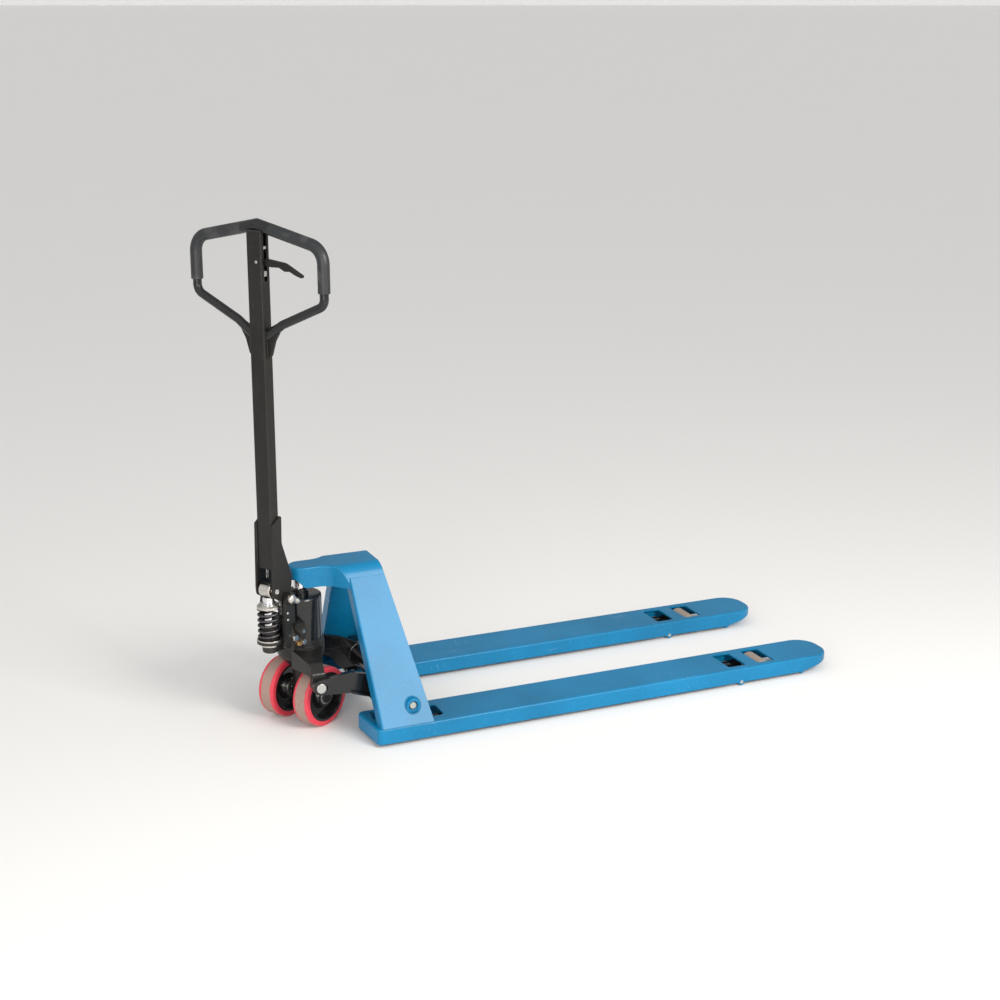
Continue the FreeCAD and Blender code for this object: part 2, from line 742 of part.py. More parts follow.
# ---- seat between the linkage and the pump -----------------------------------------------------
def seat_bracket():
    """Cast cup that the pump's foot turns in, with a lug down each side to the arm's pin."""
    bore = stem_radius + contact_gap
    cup = seat_rim_radius - seat_wall
    profile = [(bore, seat_bottom), (seat_foot_radius, seat_bottom), (seat_rim_radius - 3,
        seat_bottom + 17)]
    profile += [(seat_rim_radius, seat_bottom + 24), (seat_rim_radius, seat_rim - 2),
        (seat_rim_radius - 2, seat_rim)]
    profile += [(cup, seat_rim), (cup, seat_floor), (bore, seat_floor)]
    bowl = turned_z(profile, king_x, 0)
    shape = bowl
    for _, s in SIDES:
        wing = [(s * 50, seat_bottom), (s * lug_inner_y, seat_bottom), (s * lug_inner_y, seat_pin_z)]
        wing += [(s * lug_outer_y, seat_pin_z), (s * lug_outer_y, seat_floor - 20),
            (s * (lug_outer_y - 26), seat_floor + 2)]
        wing += [(s * 50, seat_rim - 6)]
        x0 = king_x - lug_half_width
        x1 = king_x + lug_half_width
        arm = front_plate(wing, x0 - 30, x1 + 30, [0, 8, 0, 0, 10, 20, 0])
        plan = [(x0 - 28, s * 40), (x0, s * lug_inner_y), (x0, s * lug_outer_y)]
        plan += [(x1, s * lug_outer_y), (x1, s * lug_inner_y), (x1 + 28, s * 40)]
        arm = arm.common(plan_plate(plan, 0, seat_rim, [0, 30, 0, 0, 30, 0]))
        shape = shape.fuse(arm)
        y0, y1 = sorted((s * lug_inner_y, s * lug_outer_y))
        shape = shape.fuse(rod_y(king_x, seat_pin_z, lug_radius, y0, y1))
    shape = shape.removeSplitter()
    shape = shape.cut(rod_z(king_x, 0, cup, seat_floor, seat_rim + 1))
    shape = shape.cut(rod_z(king_x, 0, bore, 0, seat_rim + 1))
    return shape.cut(rod_y(king_x, seat_pin_z, seat_pin_radius, -half_width, half_width))


def seat_pins():
    """Headed pins that join the seat's lugs to the rocker's arms."""
    pins = []
    for _, s in SIDES:
        head_face = arm_inner_y + arm_thickness + side_gap
        y0, y1 = sorted((s * lug_inner_y, s * head_face))
        h0, h1 = sorted((s * head_face, s * (head_face + seat_pin_head)))
        head_disc = rod_y(king_x, seat_pin_z, seat_pin_head_radius, h0, h1)
        outer = [e for e in head_disc.Edges if e.Closed and abs(abs(e.BoundBox.YMin) - head_face) > 1]
        head_disc = head_disc.makeFillet(2, outer)
        pins.append(join(rod_y(king_x, seat_pin_z, seat_pin_radius, y0, y1), head_disc))
    return group(pins)


def thrust_bearing():
    top = base_flange_bottom() - contact_gap
    return ring_z(king_x, 0, bearing_ring_outer, bearing_ring_inner, seat_floor, top)


def base_flange_bottom():
    return seat_floor + 14


# ---- steering unit, built straight about its own axis u, v and z ------------------------------------
def steered(shape):
    """Turn a piece built about the king axis to where the steering stands."""
    placed = shape.copy()
    placed.rotate(Vector(0, 0, 0), Vector(0, 0, 1), steering_angle)
    placed.translate(Vector(king_x, 0, 0))
    return placed


def pump_body():
    """Casting: foot and stem below, valve block, plunger barrel and the handle's two ears."""
    shape = rod_z(0, 0, stem_radius, stem_bottom, base_flange_bottom() + 1)
    shape = shape.makeFillet(5, [e for e in shape.Edges if e.Closed and e.BoundBox.ZMax < stem_bottom + 1])
    shape = shape.fuse(rod_z(0, 0, base_flange_radius, base_flange_bottom(), base_flange_top))
    plate_bottom = seat_rim + side_gap
    shape = shape.fuse(rod_z(0, 0, base_plate_radius, plate_bottom, base_flange_top))
    b = block_half_width
    plan = [(block_rear_u, -b), (block_front_u, -b), (block_front_u, b), (block_rear_u, b)]
    shape = shape.fuse(plan_plate(plan, plate_bottom + 2, block_top, [10, 16, 16, 10]))
    foot = rod_z(plunger_u, 0, plunger_barrel_radius, plunger_barrel_bottom, plunger_barrel_top)
    foot = foot.makeFillet(6,
        [e for e in foot.Edges if e.Closed and e.BoundBox.ZMax < plunger_barrel_bottom + 1])
    shape = shape.fuse(foot)
    shape = shape.fuse(rod_z(plunger_u, 0, spring_seat_radius, spring_seat_z,
        spring_seat_z + spring_seat_height))
    r = plunger_barrel_radius
    bridge_bottom = plate_bottom + 4
    shape = shape.fuse(box(plunger_u, block_rear_u + 2, -r, r, bridge_bottom, spring_seat_z + 1))
    for k in (-1, 1):
        v0, v1 = sorted((k * ear_column_inner, k * ear_column_outer))
        column = [(ear_column_rear_u, ear_column_bottom), (block_rear_u + 6, ear_column_bottom)]
        column += [(ear_column_front_u + 4, block_top), (pivot_u + pivot_boss_radius, pivot_z)]
        column += [(pivot_u - pivot_boss_radius, pivot_z), (ear_column_rear_u, pivot_z - 34)]
        shape = shape.fuse(side_plate(column, v0, v1, [8, 0, 20, 0, 0, 20]))
        v2, v3 = sorted((k * ear_column_inner, k * (ear_column_outer + 1.5)))
        shape = shape.fuse(rod_y(pivot_u, pivot_z, pivot_boss_radius, v2, v3))
    shape = shape.removeSplitter()
    far = reservoir_radius * 2
    shape = shape.cut(rod_y(pivot_u, pivot_z, pivot_radius, -far, far))
    shape = shape.cut(rod_y(0, axle_z, axle_radius, -far, far))
    shape = shape.cut(rod_z(plunger_u, 0, plunger_radius + running, plunger_bore_bottom,
        plunger_barrel_top + 1))
    shape = shape.cut(rod_z(0, 0, reservoir_radius, base_flange_top, block_top + 1))
    v_hole = -block_half_width
    for u, z, radius in plug_places():
        shape = shape.cut(rod_y(u, z, radius, v_hole - 1, v_hole + plug_depth + 1))
    hole = release_pin_radius
    return shape.cut(rod_y(release_pivot_u, release_pivot_z, hole, v_hole - 1, v_hole + 12))


def plug_places():
    """Places and shank radii of the plugs in the side of the valve block."""
    low = base_flange_top + 9
    return [(block_rear_u + 10, low + 18, 6.0), (block_rear_u + 24, low, 6.0), (block_front_u - 24,
        low - 2, 5.0)]


def plug(u, z, shank, head_radius, head_height):
    """Hexagon-headed plug facing away from the block."""
    face = -block_half_width
    corners = []
    for i in range(6):
        angle = math.radians(60 * i + 30)
        corners.append(Vector(u + head_radius * math.cos(angle), face, z + head_radius * math.sin(angle)))
    hexagon = prism(corners, [0] * 6, Vector(0, -head_height, 0))
    dome = turned_y([(0, face), (head_radius, face), (head_radius - 2, face - head_height), (0,
        face - head_height)], u, z)
    return hexagon.common(dome).fuse(rod_y(u, z, shank, face - 1, face + plug_depth)).removeSplitter()


def steel_plugs():
    places = plug_places()
    return group([plug(*places[0], 9.5, 8.0), plug(*places[2], 8.5, 7.0)])


def brass_plug():
    return plug(*plug_places()[1], 8.5, 9.0)


def reservoir():
    """Oil tank round the lift cylinder, closed at the top."""
    r = reservoir_radius
    c = reservoir_chamfer
    hole = cylinder_radius
    profile = [(r - reservoir_wall, base_flange_top), (r, base_flange_top), (r, reservoir_top - c)]
    profile += [(r - c * 0.3, reservoir_top - c * 0.3), (r - c, reservoir_top), (hole, reservoir_top)]
    profile += [(hole, reservoir_top - 8), (r - reservoir_wall, reservoir_top - 8)]
    return turned_z(profile, 0, 0)


def lift_cylinder():
    return ring_z(0, 0, cylinder_radius, ram_radius + running, base_flange_top, reservoir_top)


def gland_nut():
    """Ring that holds the ram's seal at the top of the tank."""
    z0 = reservoir_top
    bore = ram_radius + running
    profile = [(bore, z0), (gland_flat_radius, z0), (gland_flat_radius, z0 + 6), (gland_radius, z0 + 8)]
    profile += [(gland_radius, z0 + gland_height - 2), (gland_radius - 2, z0 + gland_height), (bore,
        z0 + gland_height)]
    return turned_z(profile, 0, 0)


def ram():
    top = head_top - nose_depth + socket_drop + socket_depth - contact_gap
    return rod_z(0, 0, ram_radius, ram_bottom, top)


def plunger():
    """Pump piston and its button under the pressure roller."""
    top = roller_z - roller_radius - joint_gap
    stem = rod_z(plunger_u, 0, plunger_radius, plunger_bottom, cap_bottom + cap_height)
    button = rod_z(plunger_u, 0, button_radius, cap_bottom + cap_height, top)
    button = button.makeFillet(3, [e for e in button.Edges if e.Closed and e.BoundBox.ZMin > top - 1])
    return join(stem, button)


def spring_cap():
    r = cap_radius
    profile = [(plunger_radius, cap_bottom), (r, cap_bottom), (r, cap_bottom + 5), (r - 5,
        cap_bottom + cap_height)]
    profile += [(plunger_radius, cap_bottom + cap_height)]
    return turned_z(profile, plunger_u, 0)


def pump_spring():
    """Return spring round the plunger, between the barrel's flange and the cap."""
    z0 = spring_seat_z + spring_seat_height + spring_wire + joint_gap
    z1 = cap_bottom - spring_wire - joint_gap
    pitch = (z1 - z0) / spring_turns
    helix = Part.makeHelix(pitch, z1 - z0, spring_radius)
    wire = Part.Wire(helix.Edges)
    section = Part.Wire(Part.makeCircle(spring_wire, Vector(spring_radius, 0, 0), Vector(0, 1, 0)))
    coil = wire.makePipeShell([section], True, True)
    coil.translate(Vector(plunger_u, 0, z0))
    return coil


def handle_pivot_pin():
    half = ear_column_outer + 4
    return rod_y(pivot_u, pivot_z, pivot_radius, -half, half)


def pivot_clips():
    rings = []
    for k in (-1, 1):
        v0, v1 = sorted((k * (ear_column_outer + 1.5), k * (ear_column_outer + 3)))
        rings.append(ring_y(pivot_u, pivot_z, pivot_radius + 4, pivot_radius, v0, v1))
    return group(rings)


def release_lever():
    """Cast finger on the valve block that lets the oil back."""
    face = -(block_half_width + side_gap)
    u = release_pivot_u
    z = release_pivot_z
    outline = [(u - 30, z + 16), (u - 22, z + 26), (u + 2, z + 19), (u + 11, z + 10)]
    outline += [(u + 13, z - 6), (u + 9, z - 14), (u + 2, z - 13), (u - 10, z - 8)]
    shape = side_plate(outline, face - release_thickness, face, [6, 6, 10, 6, 3, 3, 3, 10])
    shape = shape.fuse(rod_y(u, z, 12, face - release_thickness - 3, face)).removeSplitter()
    return shape.cut(rod_y(u, z, release_pin_radius + running, face - 30, face + 1))


def release_pivot():
    face = -block_half_width
    return rod_y(release_pivot_u, release_pivot_z, release_pin_radius, face - release_thickness - 5,
        face + 11)


# ---- steering wheels ------------------------------------------------------------------------------------
def wheel_rim(side):
    """Cast centre: rim, deep dished web and a hub bored for two bearings."""
    h = wheel_width / 2
    outer = wheel_radius - tyre_thickness
    well = outer - rim_lip
    web = rim_web / 2
    hub = rim_hub_radius
    bore = bearing_radius
    profile = [(bore, -h + 2), (hub, -h + 2), (hub, -h + 4), (hub + 8, -web - 2), (well - 7,
        -web - 2), (well, -h)]
    profile += [(outer, -h), (outer, h), (well, h), (well - 7, web + 2), (hub + 8, web + 2), (hub, h - 4)]
    profile += [(hub, h - 2), (bore, h - 2)]
    shape = turned_y(profile, 0, axle_z)
    shape.translate(Vector(0, side * wheel_v, 0))
    return shape


def tyre(side):
    h = wheel_width / 2
    r = wheel_radius
    e = tyre_edge
    inner = wheel_radius - tyre_thickness
    profile = [(inner, -h), (r - e, -h), (r - e * 0.3, -h + e * 0.3), (r, -h + e), (r, h - e)]
    profile += [(r - e * 0.3, h - e * 0.3), (r - e, h), (inner, h)]
    shape = turned_y(profile, 0, axle_z)
    shape.translate(Vector(0, side * wheel_v, 0))
    return shape


def wheel_bearings(side):
    rings = []
    h = wheel_width / 2 - 2
    for k in (-1, 1):
        v0, v1 = sorted((side * wheel_v + k * h, side * wheel_v + k * (h - bearing_width)))
        rings.append(ring_y(0, axle_z, bearing_radius, axle_radius + running, v0, v1))
    return group(rings)


def wheel_axle():
    """Through axle with a cap at each end."""
    face = wheel_outer_v - 2 + side_gap
    shape = rod_y(0, axle_z, axle_radius, -face, face)
    for k in (-1, 1):
        v0, v1 = sorted((k * face, k * (face + axle_cap)))
        shape = shape.fuse(rod_y(0, axle_z, axle_cap_radius, v0, v1))
    return shape.removeSplitter()


def axle_spacers():
    rings = []
    for k in (-1, 1):
        v0, v1 = sorted((k * (stem_radius - 3), k * (wheel_inner_v + 2 - side_gap)))
        ring = ring_y(0, axle_z, bearing_radius, axle_radius, v0, v1)
        rings.append(ring.cut(rod_z(0, 0, stem_radius, stem_bottom - 30, seat_bottom)))
    return group(rings)


# ---- handle ----------------------------------------------------------------------------------------------
def shaft_tube():
    """Rectangular tube with a slot for the finger lever."""
    d = tube_depth / 2
    w = tube_width / 2
    plan = [(tube_u - d, -w), (tube_u + d, -w), (tube_u + d, w), (tube_u - d, w)]
    top = loop_top - loop_radius
    outer = plan_plate(plan, tube_bottom, top, [tube_corner] * 4)
    d -= tube_wall
    w -= tube_wall
    plan = [(tube_u - d, -w), (tube_u + d, -w), (tube_u + d, w), (tube_u - d, w)]
    inner = plan_plate(plan, tube_bottom - 1, top - tube_wall, [tube_corner - tube_wall + 0.5] * 4)
    shape = outer.cut(inner)
    s = lever_slot_width / 2
    slot = [(tube_u - s, lever_slot_bottom), (tube_u + s, lever_slot_bottom)]
    slot += [(tube_u + s, lever_slot_top), (tube_u - s, lever_slot_top)]
    shape = shape.cut(side_plate(slot, -tube_width, 0, [s - 0.1] * 4))
    return shape.cut(rod_x(lever_pivot_v, lever_pivot_z, lever_pin_radius, tube_u - tube_depth,
        tube_u + tube_depth))


def loop_points(k):
    """Centre line of one half of the loop, from the shaft's lower joint to the top."""
    w = tube_width / 2 - contact_gap
    places = [(w, loop_foot_z), (loop_knee_v, loop_knee_z), (loop_half_width, loop_elbow_z)]
    places += [(loop_half_width, loop_shoulder_z - 8), (0, loop_top)]
    return [Vector(tube_u, k * v, z) for v, z in places]


def loop_half(k):
    points = loop_points(k)
    radii = [0, 40, loop_elbow_radius, loop_corner, 0]
    edges = rounded_edges(points, radii, False)
    wire = Part.Wire(edges)
    start = points[0]
    ahead = (points[1] - points[0]).normalize()
    section = Part.Wire(Part.makeCircle(loop_radius, start, ahead))
    return wire.makePipeShell([section], True, False)


def handle_loop():
    """Closed loop of round bar, carried by the shaft at the top and at its feet."""
    halves = [loop_half(1), loop_half(-1)]
    peak = Vector(tube_u, 0, loop_top)
    knuckle = Part.makeSphere(grip_radius, peak)
    slope = (loop_top - loop_shoulder_z + 8) / loop_half_width
    for k in (-1, 1):
        way = Vector(0, k, -slope)
        length = way.Length * (grip_top_v - contact_gap)
        knuckle = knuckle.fuse(Part.makeCylinder(grip_radius, length, peak, way))
    shape = join(halves[0], halves[1], knuckle)
    d = tube_depth / 2
    w = tube_width / 2
    plan = [(tube_u - d, -w), (tube_u + d, -w), (tube_u + d, w), (tube_u - d, w)]
    return shape.cut(plan_plate(plan, tube_bottom, loop_top - loop_radius, [tube_corner] * 4))


def grip(k):
    """Thick sleeve on the side of the loop and round its upper corner."""
    points = [Vector(tube_u, k * loop_half_width, grip_bottom_z)]
    points.append(Vector(tube_u, k * loop_half_width, loop_shoulder_z - 8))
    slope = (loop_top - loop_shoulder_z + 8) / loop_half_width
    run = loop_half_width - grip_top_v
    points.append(points[1] + Vector(0, -k * run, slope * run))
    wire = Part.Wire(rounded_edges(points, [0, loop_corner, 0], False))
    outer = wire.makePipeShell([Part.Wire(Part.makeCircle(grip_radius, points[0], Vector(0, 0,
        1)))], True, False)
    inner = wire.makePipeShell([Part.Wire(Part.makeCircle(loop_radius, points[0], Vector(0, 0,
        1)))], True, False)
    return outer.cut(inner)


def cheek(k):
    """Side plate that joins the shaft to the pivot and carries the pressure roller."""
    v0, v1 = sorted((k * cheek_inner, k * (cheek_inner + cheek_thickness)))
    rear = tube_u - tube_depth / 2 - 2
    front = tube_u + tube_depth / 2
    outline = [(front + 2, tube_bottom + 140), (rear, tube_bottom + 117), (rear - 4, roller_z + 6)]
    outline += [(roller_u - 12, roller_z - 14), (pivot_u - 4, pivot_z - pivot_boss_radius + 1)]
    outline += [(pivot_u + pivot_boss_radius - 1, pivot_z - 8), (pivot_u + 22, pivot_z + 34)]
    outline += [(pivot_u + 24, tube_bottom - 29), (front, tube_bottom + 65)]
    radii = [4, 4, 30, 12, 12, 10, 20, 20, 40]
    shape = side_plate(outline, v0, v1, radii)
    shape = shape.cut(rod_y(pivot_u, pivot_z, pivot_radius + running, v0 - 1, v1 + 1))
    shape = shape.cut(rod_y(roller_u, roller_z, roller_axle_radius, v0 - 1, v1 + 1))
    weld0, weld1 = sorted((k * tube_width / 2, k * cheek_inner))
    pad = [(rear + 4, tube_bottom), (front - 2, tube_bottom), (front - 2, tube_bottom + 100),
        (rear + 4, tube_bottom + 100)]
    return shape.fuse(side_plate(pad, weld0, weld1)).removeSplitter()


def pressure_roller():
    h = roller_width / 2
    r = roller_radius
    profile = [(roller_axle_radius + running, -h), (r - 2, -h), (r, -h + 2), (r, h - 2), (r - 2, h)]
    profile += [(roller_axle_radius + running, h)]
    return turned_y(profile, roller_u, roller_z)


def pressure_roller_axle():
    half = cheek_inner + cheek_thickness + 1.5
    shape = rod_y(roller_u, roller_z, roller_axle_radius, -half, half)
    return shape.makeChamfer(1.0, [e for e in shape.Edges if e.Closed])


def control_lever():
    """Finger lever in the loop: up to raise, middle to travel, down to lower."""
    half = lever_thickness / 2
    z = lever_pivot_z
    v = lever_pivot_v
    outline = [(v + 10, z + 9), (v - 30, z + 7), (v - 80, z + 2), (v - lever_reach, z - 23)]
    outline += [(v - lever_reach - 3, z - 31), (v - 112, z - 24), (v - 96, z - 17), (v - 80, z - 18)]
    outline += [(v - 62, z - 10), (v - 40, z - 11), (v - 24, z - 10), (v + 6, z - 9)]
    radii = [8, 0, 40, 4, 3, 8, 8, 8, 8, 8, 0, 8]
    points = [Vector(tube_u - half, a, b) for a, b in outline]
    shape = prism(points, radii, Vector(2 * half, 0, 0))
    hole = lever_pin_radius + running
    return shape.cut(rod_x(v, z, hole, tube_u - 20, tube_u + 20))


def lever_pin():
    half = tube_depth / 2 + 2
    shape = rod_x(lever_pivot_v, lever_pivot_z, lever_pin_radius, tube_u - half, tube_u + half)
    return shape.makeChamfer(0.8, [e for e in shape.Edges if e.Closed])


def pull_rod():
    """Rod down the shaft from the finger lever to the valve's chain."""
    top = lever_pivot_z - 14
    return rod_z(tube_u, pull_rod_v, pull_rod_radius, pull_rod_bottom, top)


# ---- all nodes --------------------------------------------------------------------------------------------
def build_nodes():
    nodes = {}
    nodes["head_plate"] = head()
    nodes["head_stiffener"] = head_stiffener()
    nodes["ram_socket"] = ram_socket()
    for name, s in SIDES:
        nodes["leg_" + name] = leg(s)
        nodes["fork_" + name] = fork(s)
        nodes["push_rod_" + name] = push_rod(s)
        nodes["roller_frame_" + name] = roller_frame(s)
        nodes["load_roller_axle_" + name] = load_roller_axle(s)
        nodes["load_roller_" + name] = load_roller(s)
        nodes["roller_bearings_" + name] = roller_bearings(s)
    nodes["entry_skids"] = group([entry_skid(s) for _, s in SIDES])
    nodes["shaft_bosses"] = group([shaft_boss(s) for _, s in SIDES])
    nodes["frame_pivot_pins"] = frame_pivot_pins()
    nodes["rocker_shaft"] = rocker_shaft()
    nodes["rocker"] = rocker()
    nodes["rocker_bushes"] = rocker_bushes()
    nodes["crank_pins"] = crank_pins()
    nodes["seat_bracket"] = seat_bracket()
    nodes["seat_pins"] = seat_pins()
    nodes["thrust_bearing"] = thrust_bearing()
    unit = {
        "pump_body": pump_body(),
        "steel_plugs": steel_plugs(),
        "brass_plug": brass_plug(),
        "reservoir": reservoir(),
        "lift_cylinder": lift_cylinder(),
        "gland_nut": gland_nut(),
        "ram": ram(),
        "plunger": plunger(),
        "spring_cap": spring_cap(),
        "pump_spring": pump_spring(),
        "handle_pivot_pin": handle_pivot_pin(),
        "pivot_clips": pivot_clips(),
        "release_lever": release_lever(),
        "release_pivot": release_pivot(),
        "wheel_axle": wheel_axle(),
        "axle_spacers": axle_spacers(),
        "handle_shaft": shaft_tube(),
        "handle_loop": handle_loop(),
        "pressure_roller": pressure_roller(),
        "pressure_roller_axle": pressure_roller_axle(),
        "control_lever": control_lever(),
        "lever_pin": lever_pin(),
        "pull_rod": pull_rod(),
    }
    for name, s in SIDES:
        unit["wheel_rim_" + name] = wheel_rim(s)
        unit["tyre_" + name] = tyre(s)
        unit["wheel_bearings_" + name] = wheel_bearings(s)
        unit["grip_" + name] = grip(s)
        unit["cheek_" + name] = cheek(s)
    for name, shape in unit.items():
        nodes[name] = steered(shape)
    return nodes


def main():
    os.makedirs("parts", exist_ok=True)
    nodes = build_nodes()
    boxes = [shape.optimalBoundingBox(False, False) for shape in nodes.values()]
    middle_x = (min(b.XMin for b in boxes) + max(b.XMax for b in boxes)) / 2
    middle_y = (min(b.YMin for b in boxes) + max(b.YMax for b in boxes)) / 2
    floor = min(b.ZMin for b in boxes)
    for name, shape in sorted(nodes.items()):
        shape.translate(Vector(-middle_x, -middle_y, -floor))
        shape.exportStep("parts/" + name + ".step")
        solids = len(shape.Solids)
        print(name, solids, "solids", round(shape.Volume / 1000, 1), "cm3",
            "valid" if shape.isValid() else "INVALID")
    print("shift", round(-middle_x, 3), round(-middle_y, 3), round(-floor, 3), "nodes", len(nodes))
    print("height", round(max(b.ZMax for b in boxes), 2), "x", round(min(b.XMin for b in boxes), 2))


main()
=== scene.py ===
"""Looks of a hand pallet jack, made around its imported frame: finishes, welds, fasteners and the studio."""
import json
import logging
import math
from dataclasses import dataclass, field
from enum import Enum

import bpy
from mathutils import Matrix, Vector


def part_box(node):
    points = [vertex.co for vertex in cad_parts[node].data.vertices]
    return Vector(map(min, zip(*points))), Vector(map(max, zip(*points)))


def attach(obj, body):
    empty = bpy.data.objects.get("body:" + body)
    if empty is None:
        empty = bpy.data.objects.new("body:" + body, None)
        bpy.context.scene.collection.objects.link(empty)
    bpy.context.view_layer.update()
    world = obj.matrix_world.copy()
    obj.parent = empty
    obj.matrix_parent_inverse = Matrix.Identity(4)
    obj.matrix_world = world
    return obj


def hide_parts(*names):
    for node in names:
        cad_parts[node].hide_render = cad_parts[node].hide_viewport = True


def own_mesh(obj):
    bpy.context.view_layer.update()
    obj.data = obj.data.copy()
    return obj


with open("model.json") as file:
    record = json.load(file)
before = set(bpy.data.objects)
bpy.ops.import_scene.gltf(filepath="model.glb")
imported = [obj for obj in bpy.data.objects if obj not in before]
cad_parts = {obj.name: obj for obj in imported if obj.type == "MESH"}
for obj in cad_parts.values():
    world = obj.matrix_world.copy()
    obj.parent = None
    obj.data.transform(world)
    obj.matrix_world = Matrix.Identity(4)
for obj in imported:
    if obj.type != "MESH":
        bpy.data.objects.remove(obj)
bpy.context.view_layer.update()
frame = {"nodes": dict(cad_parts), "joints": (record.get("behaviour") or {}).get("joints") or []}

LOG = logging.getLogger("pallet_jack")
SHARP_ANGLE = math.radians(35)
SIDES = (("left", 1.0), ("right", -1.0))
Colour = tuple[float, float, float]


# ---- shader maths ------------------------------------------------------------------
class Shade:
    """A socket of a material that Python arithmetic can be done on."""

    def __init__(self, bench: "Bench", socket: bpy.types.NodeSocket) -> None:
        """Keep the socket and the bench that it is on."""
        self.bench = bench
        self.socket = socket

    def _math(self, operation: str, first: "Shade | float", second: "Shade | float") -> "Shade":
        """Add one Math node."""
        return self.bench.node("ShaderNodeMath", {"operation": operation}, {0: first, 1: second})

    def __add__(self, other: "Shade | float") -> "Shade":
        """Add a value."""
        return self._math("ADD", self, other)

    def __sub__(self, other: "Shade | float") -> "Shade":
        """Take a value away."""
        return self._math("SUBTRACT", self, other)

    def __rsub__(self, other: "Shade | float") -> "Shade":
        """Take this away from a value."""
        return self._math("SUBTRACT", other, self)

    def __mul__(self, other: "Shade | float") -> "Shade":
        """Multiply by a value."""
        return self._math("MULTIPLY", self, other)

    def __pow__(self, other: "Shade | float") -> "Shade":
        """Raise to a power."""
        return self._math("POWER", self, other)

    def __abs__(self) -> "Shade":
        """Drop the sign."""
        return self._math("ABSOLUTE", self, 0.0)

    __radd__ = __add__
    __rmul__ = __mul__


class Bench:
    """The place where one material's nodes, or the world's, are put together."""

    def __init__(self, owner: bpy.types.Material | bpy.types.World) -> None:
        """Start with an empty tree.

        Args:
            owner: what the nodes belong to.
        """
        self.owner = owner
        owner.use_nodes = True
        self.tree = owner.node_tree
        self.tree.nodes.clear()

    def node(self, kind: str, settings: dict | None = None, sockets: dict | None = None,
            output: int = 0) -> Shade:
        """Add a node.

        Args:
            kind: the node's type.
            settings: its own settings, set before its sockets.
            sockets: values or links by socket name or number.
            output: which output comes back.

        Returns:
            The chosen output.
        """
        made = self.tree.nodes.new(kind)
        for key, value in (settings or {}).items():
            setattr(made, key, value)
        for key, value in (sockets or {}).items():
            if isinstance(value, Shade):
                self.tree.links.new(value.socket, made.inputs[key])
            else:
                made.inputs[key].default_value = value
        return Shade(self, made.outputs[output]) if made.outputs else Shade(self, None)

    def place(self) -> Shade:
        """The surface point in the object's own space, which rides with its body."""
        return self.node("ShaderNodeTexCoord", output=3)

    def noise(self, scale: float, detail: float = 2.0, stretch: Colour = (1, 1, 1),
            shift: float = 0.0) -> Shade:
        """Cloudy noise from 0 to 1.

        Args:
            scale: cells to the metre.
            detail: how many finer layers it has.
            stretch: how much tighter the cells are along each axis.
            shift: moves the pattern, so that two layers differ.

        Returns:
            The noise value.
        """
        sockets = {"Vector": self.place(), "Location": (shift, shift, shift), "Scale": stretch}
        where = self.node("ShaderNodeMapping", None, sockets)
        return self.node("ShaderNodeTexNoise", None, {"Vector": where, "Scale": scale, "Detail": detail})

    def ease(self, value: Shade, low: float, high: float) -> Shade:
        """A smooth step from 0 at low to 1 at high."""
        sockets = {"Value": value, "From Min": low, "From Max": high}
        return self.node("ShaderNodeMapRange", {"interpolation_type": "SMOOTHSTEP"}, sockets)

    def mix(self, factor: Shade | float, first: Shade | Colour, second: Shade | Colour) -> Shade:
        """Blend two colours.

        Args:
            factor: 0 for the first, 1 for the second.
            first: a colour or a colour socket.
            second: a colour or a colour socket.

        Returns:
            The blended colour.
        """
        colours = [c if isinstance(c, Shade) else (*c, 1.0) for c in (first, second)]
        return self.node("ShaderNodeMix", {"data_type": "RGBA"}, {0: factor, 6: colours[0],
            7: colours[1]}, 2)

    def along(self, direction: Vector, origin: Vector) -> Shade:
        """How far the surface point is from an origin along a direction."""
        sockets = {0: self.place(), 1: tuple(origin)}
        offset = self.node("ShaderNodeVectorMath", {"operation": "SUBTRACT"}, sockets)
        return self.node("ShaderNodeVectorMath", {"operation": "DOT_PRODUCT"}, {0: offset,
            1: tuple(direction)}, 1)

    def soft_edges(self, radius: float) -> Shade:
        """A normal that rounds the edges by a radius."""
        return self.node("ShaderNodeBevel", {"samples": 4}, {"Radius": radius})

    def edge_mask(self, rounded: Shade) -> Shade:
        """How much the rounded normal leans off the true one: 0 on flats, more at edges."""
        true = self.node("ShaderNodeNewGeometry", output=1)
        return 1.0 - self.node("ShaderNodeVectorMath", {"operation": "DOT_PRODUCT"}, {0: rounded,
            1: true}, 1)

    def bump(self, height: Shade, distance: float, strength: float, normal: Shade | None = None) -> Shade:
        """Relief on the surface.

        Args:
            height: the relief, from 0 to 1.
            distance: how deep 1 is, in metres.
            strength: how much of it is used.
            normal: the normal that it starts from.

        Returns:
            The new normal.
        """
        sockets = {"Height": height, "Distance": distance, "Strength": strength}
        if normal is not None:
            sockets["Normal"] = normal
        return self.node("ShaderNodeBump", None, sockets)

    def close(self, sockets: dict) -> bpy.types.Material:
        """Add the shader and the output.

        Args:
            sockets: values or links of the shader's sockets.

        Returns:
            The finished material.
        """
        shader = self.node("ShaderNodeBsdfPrincipled", None, sockets)
        self.node("ShaderNodeOutputMaterial", None, {"Surface": shader})
        return self.owner


def new_bench(name: str) -> Bench:
    """A bench with a new material of that name."""
    return Bench(bpy.data.materials.new(name))


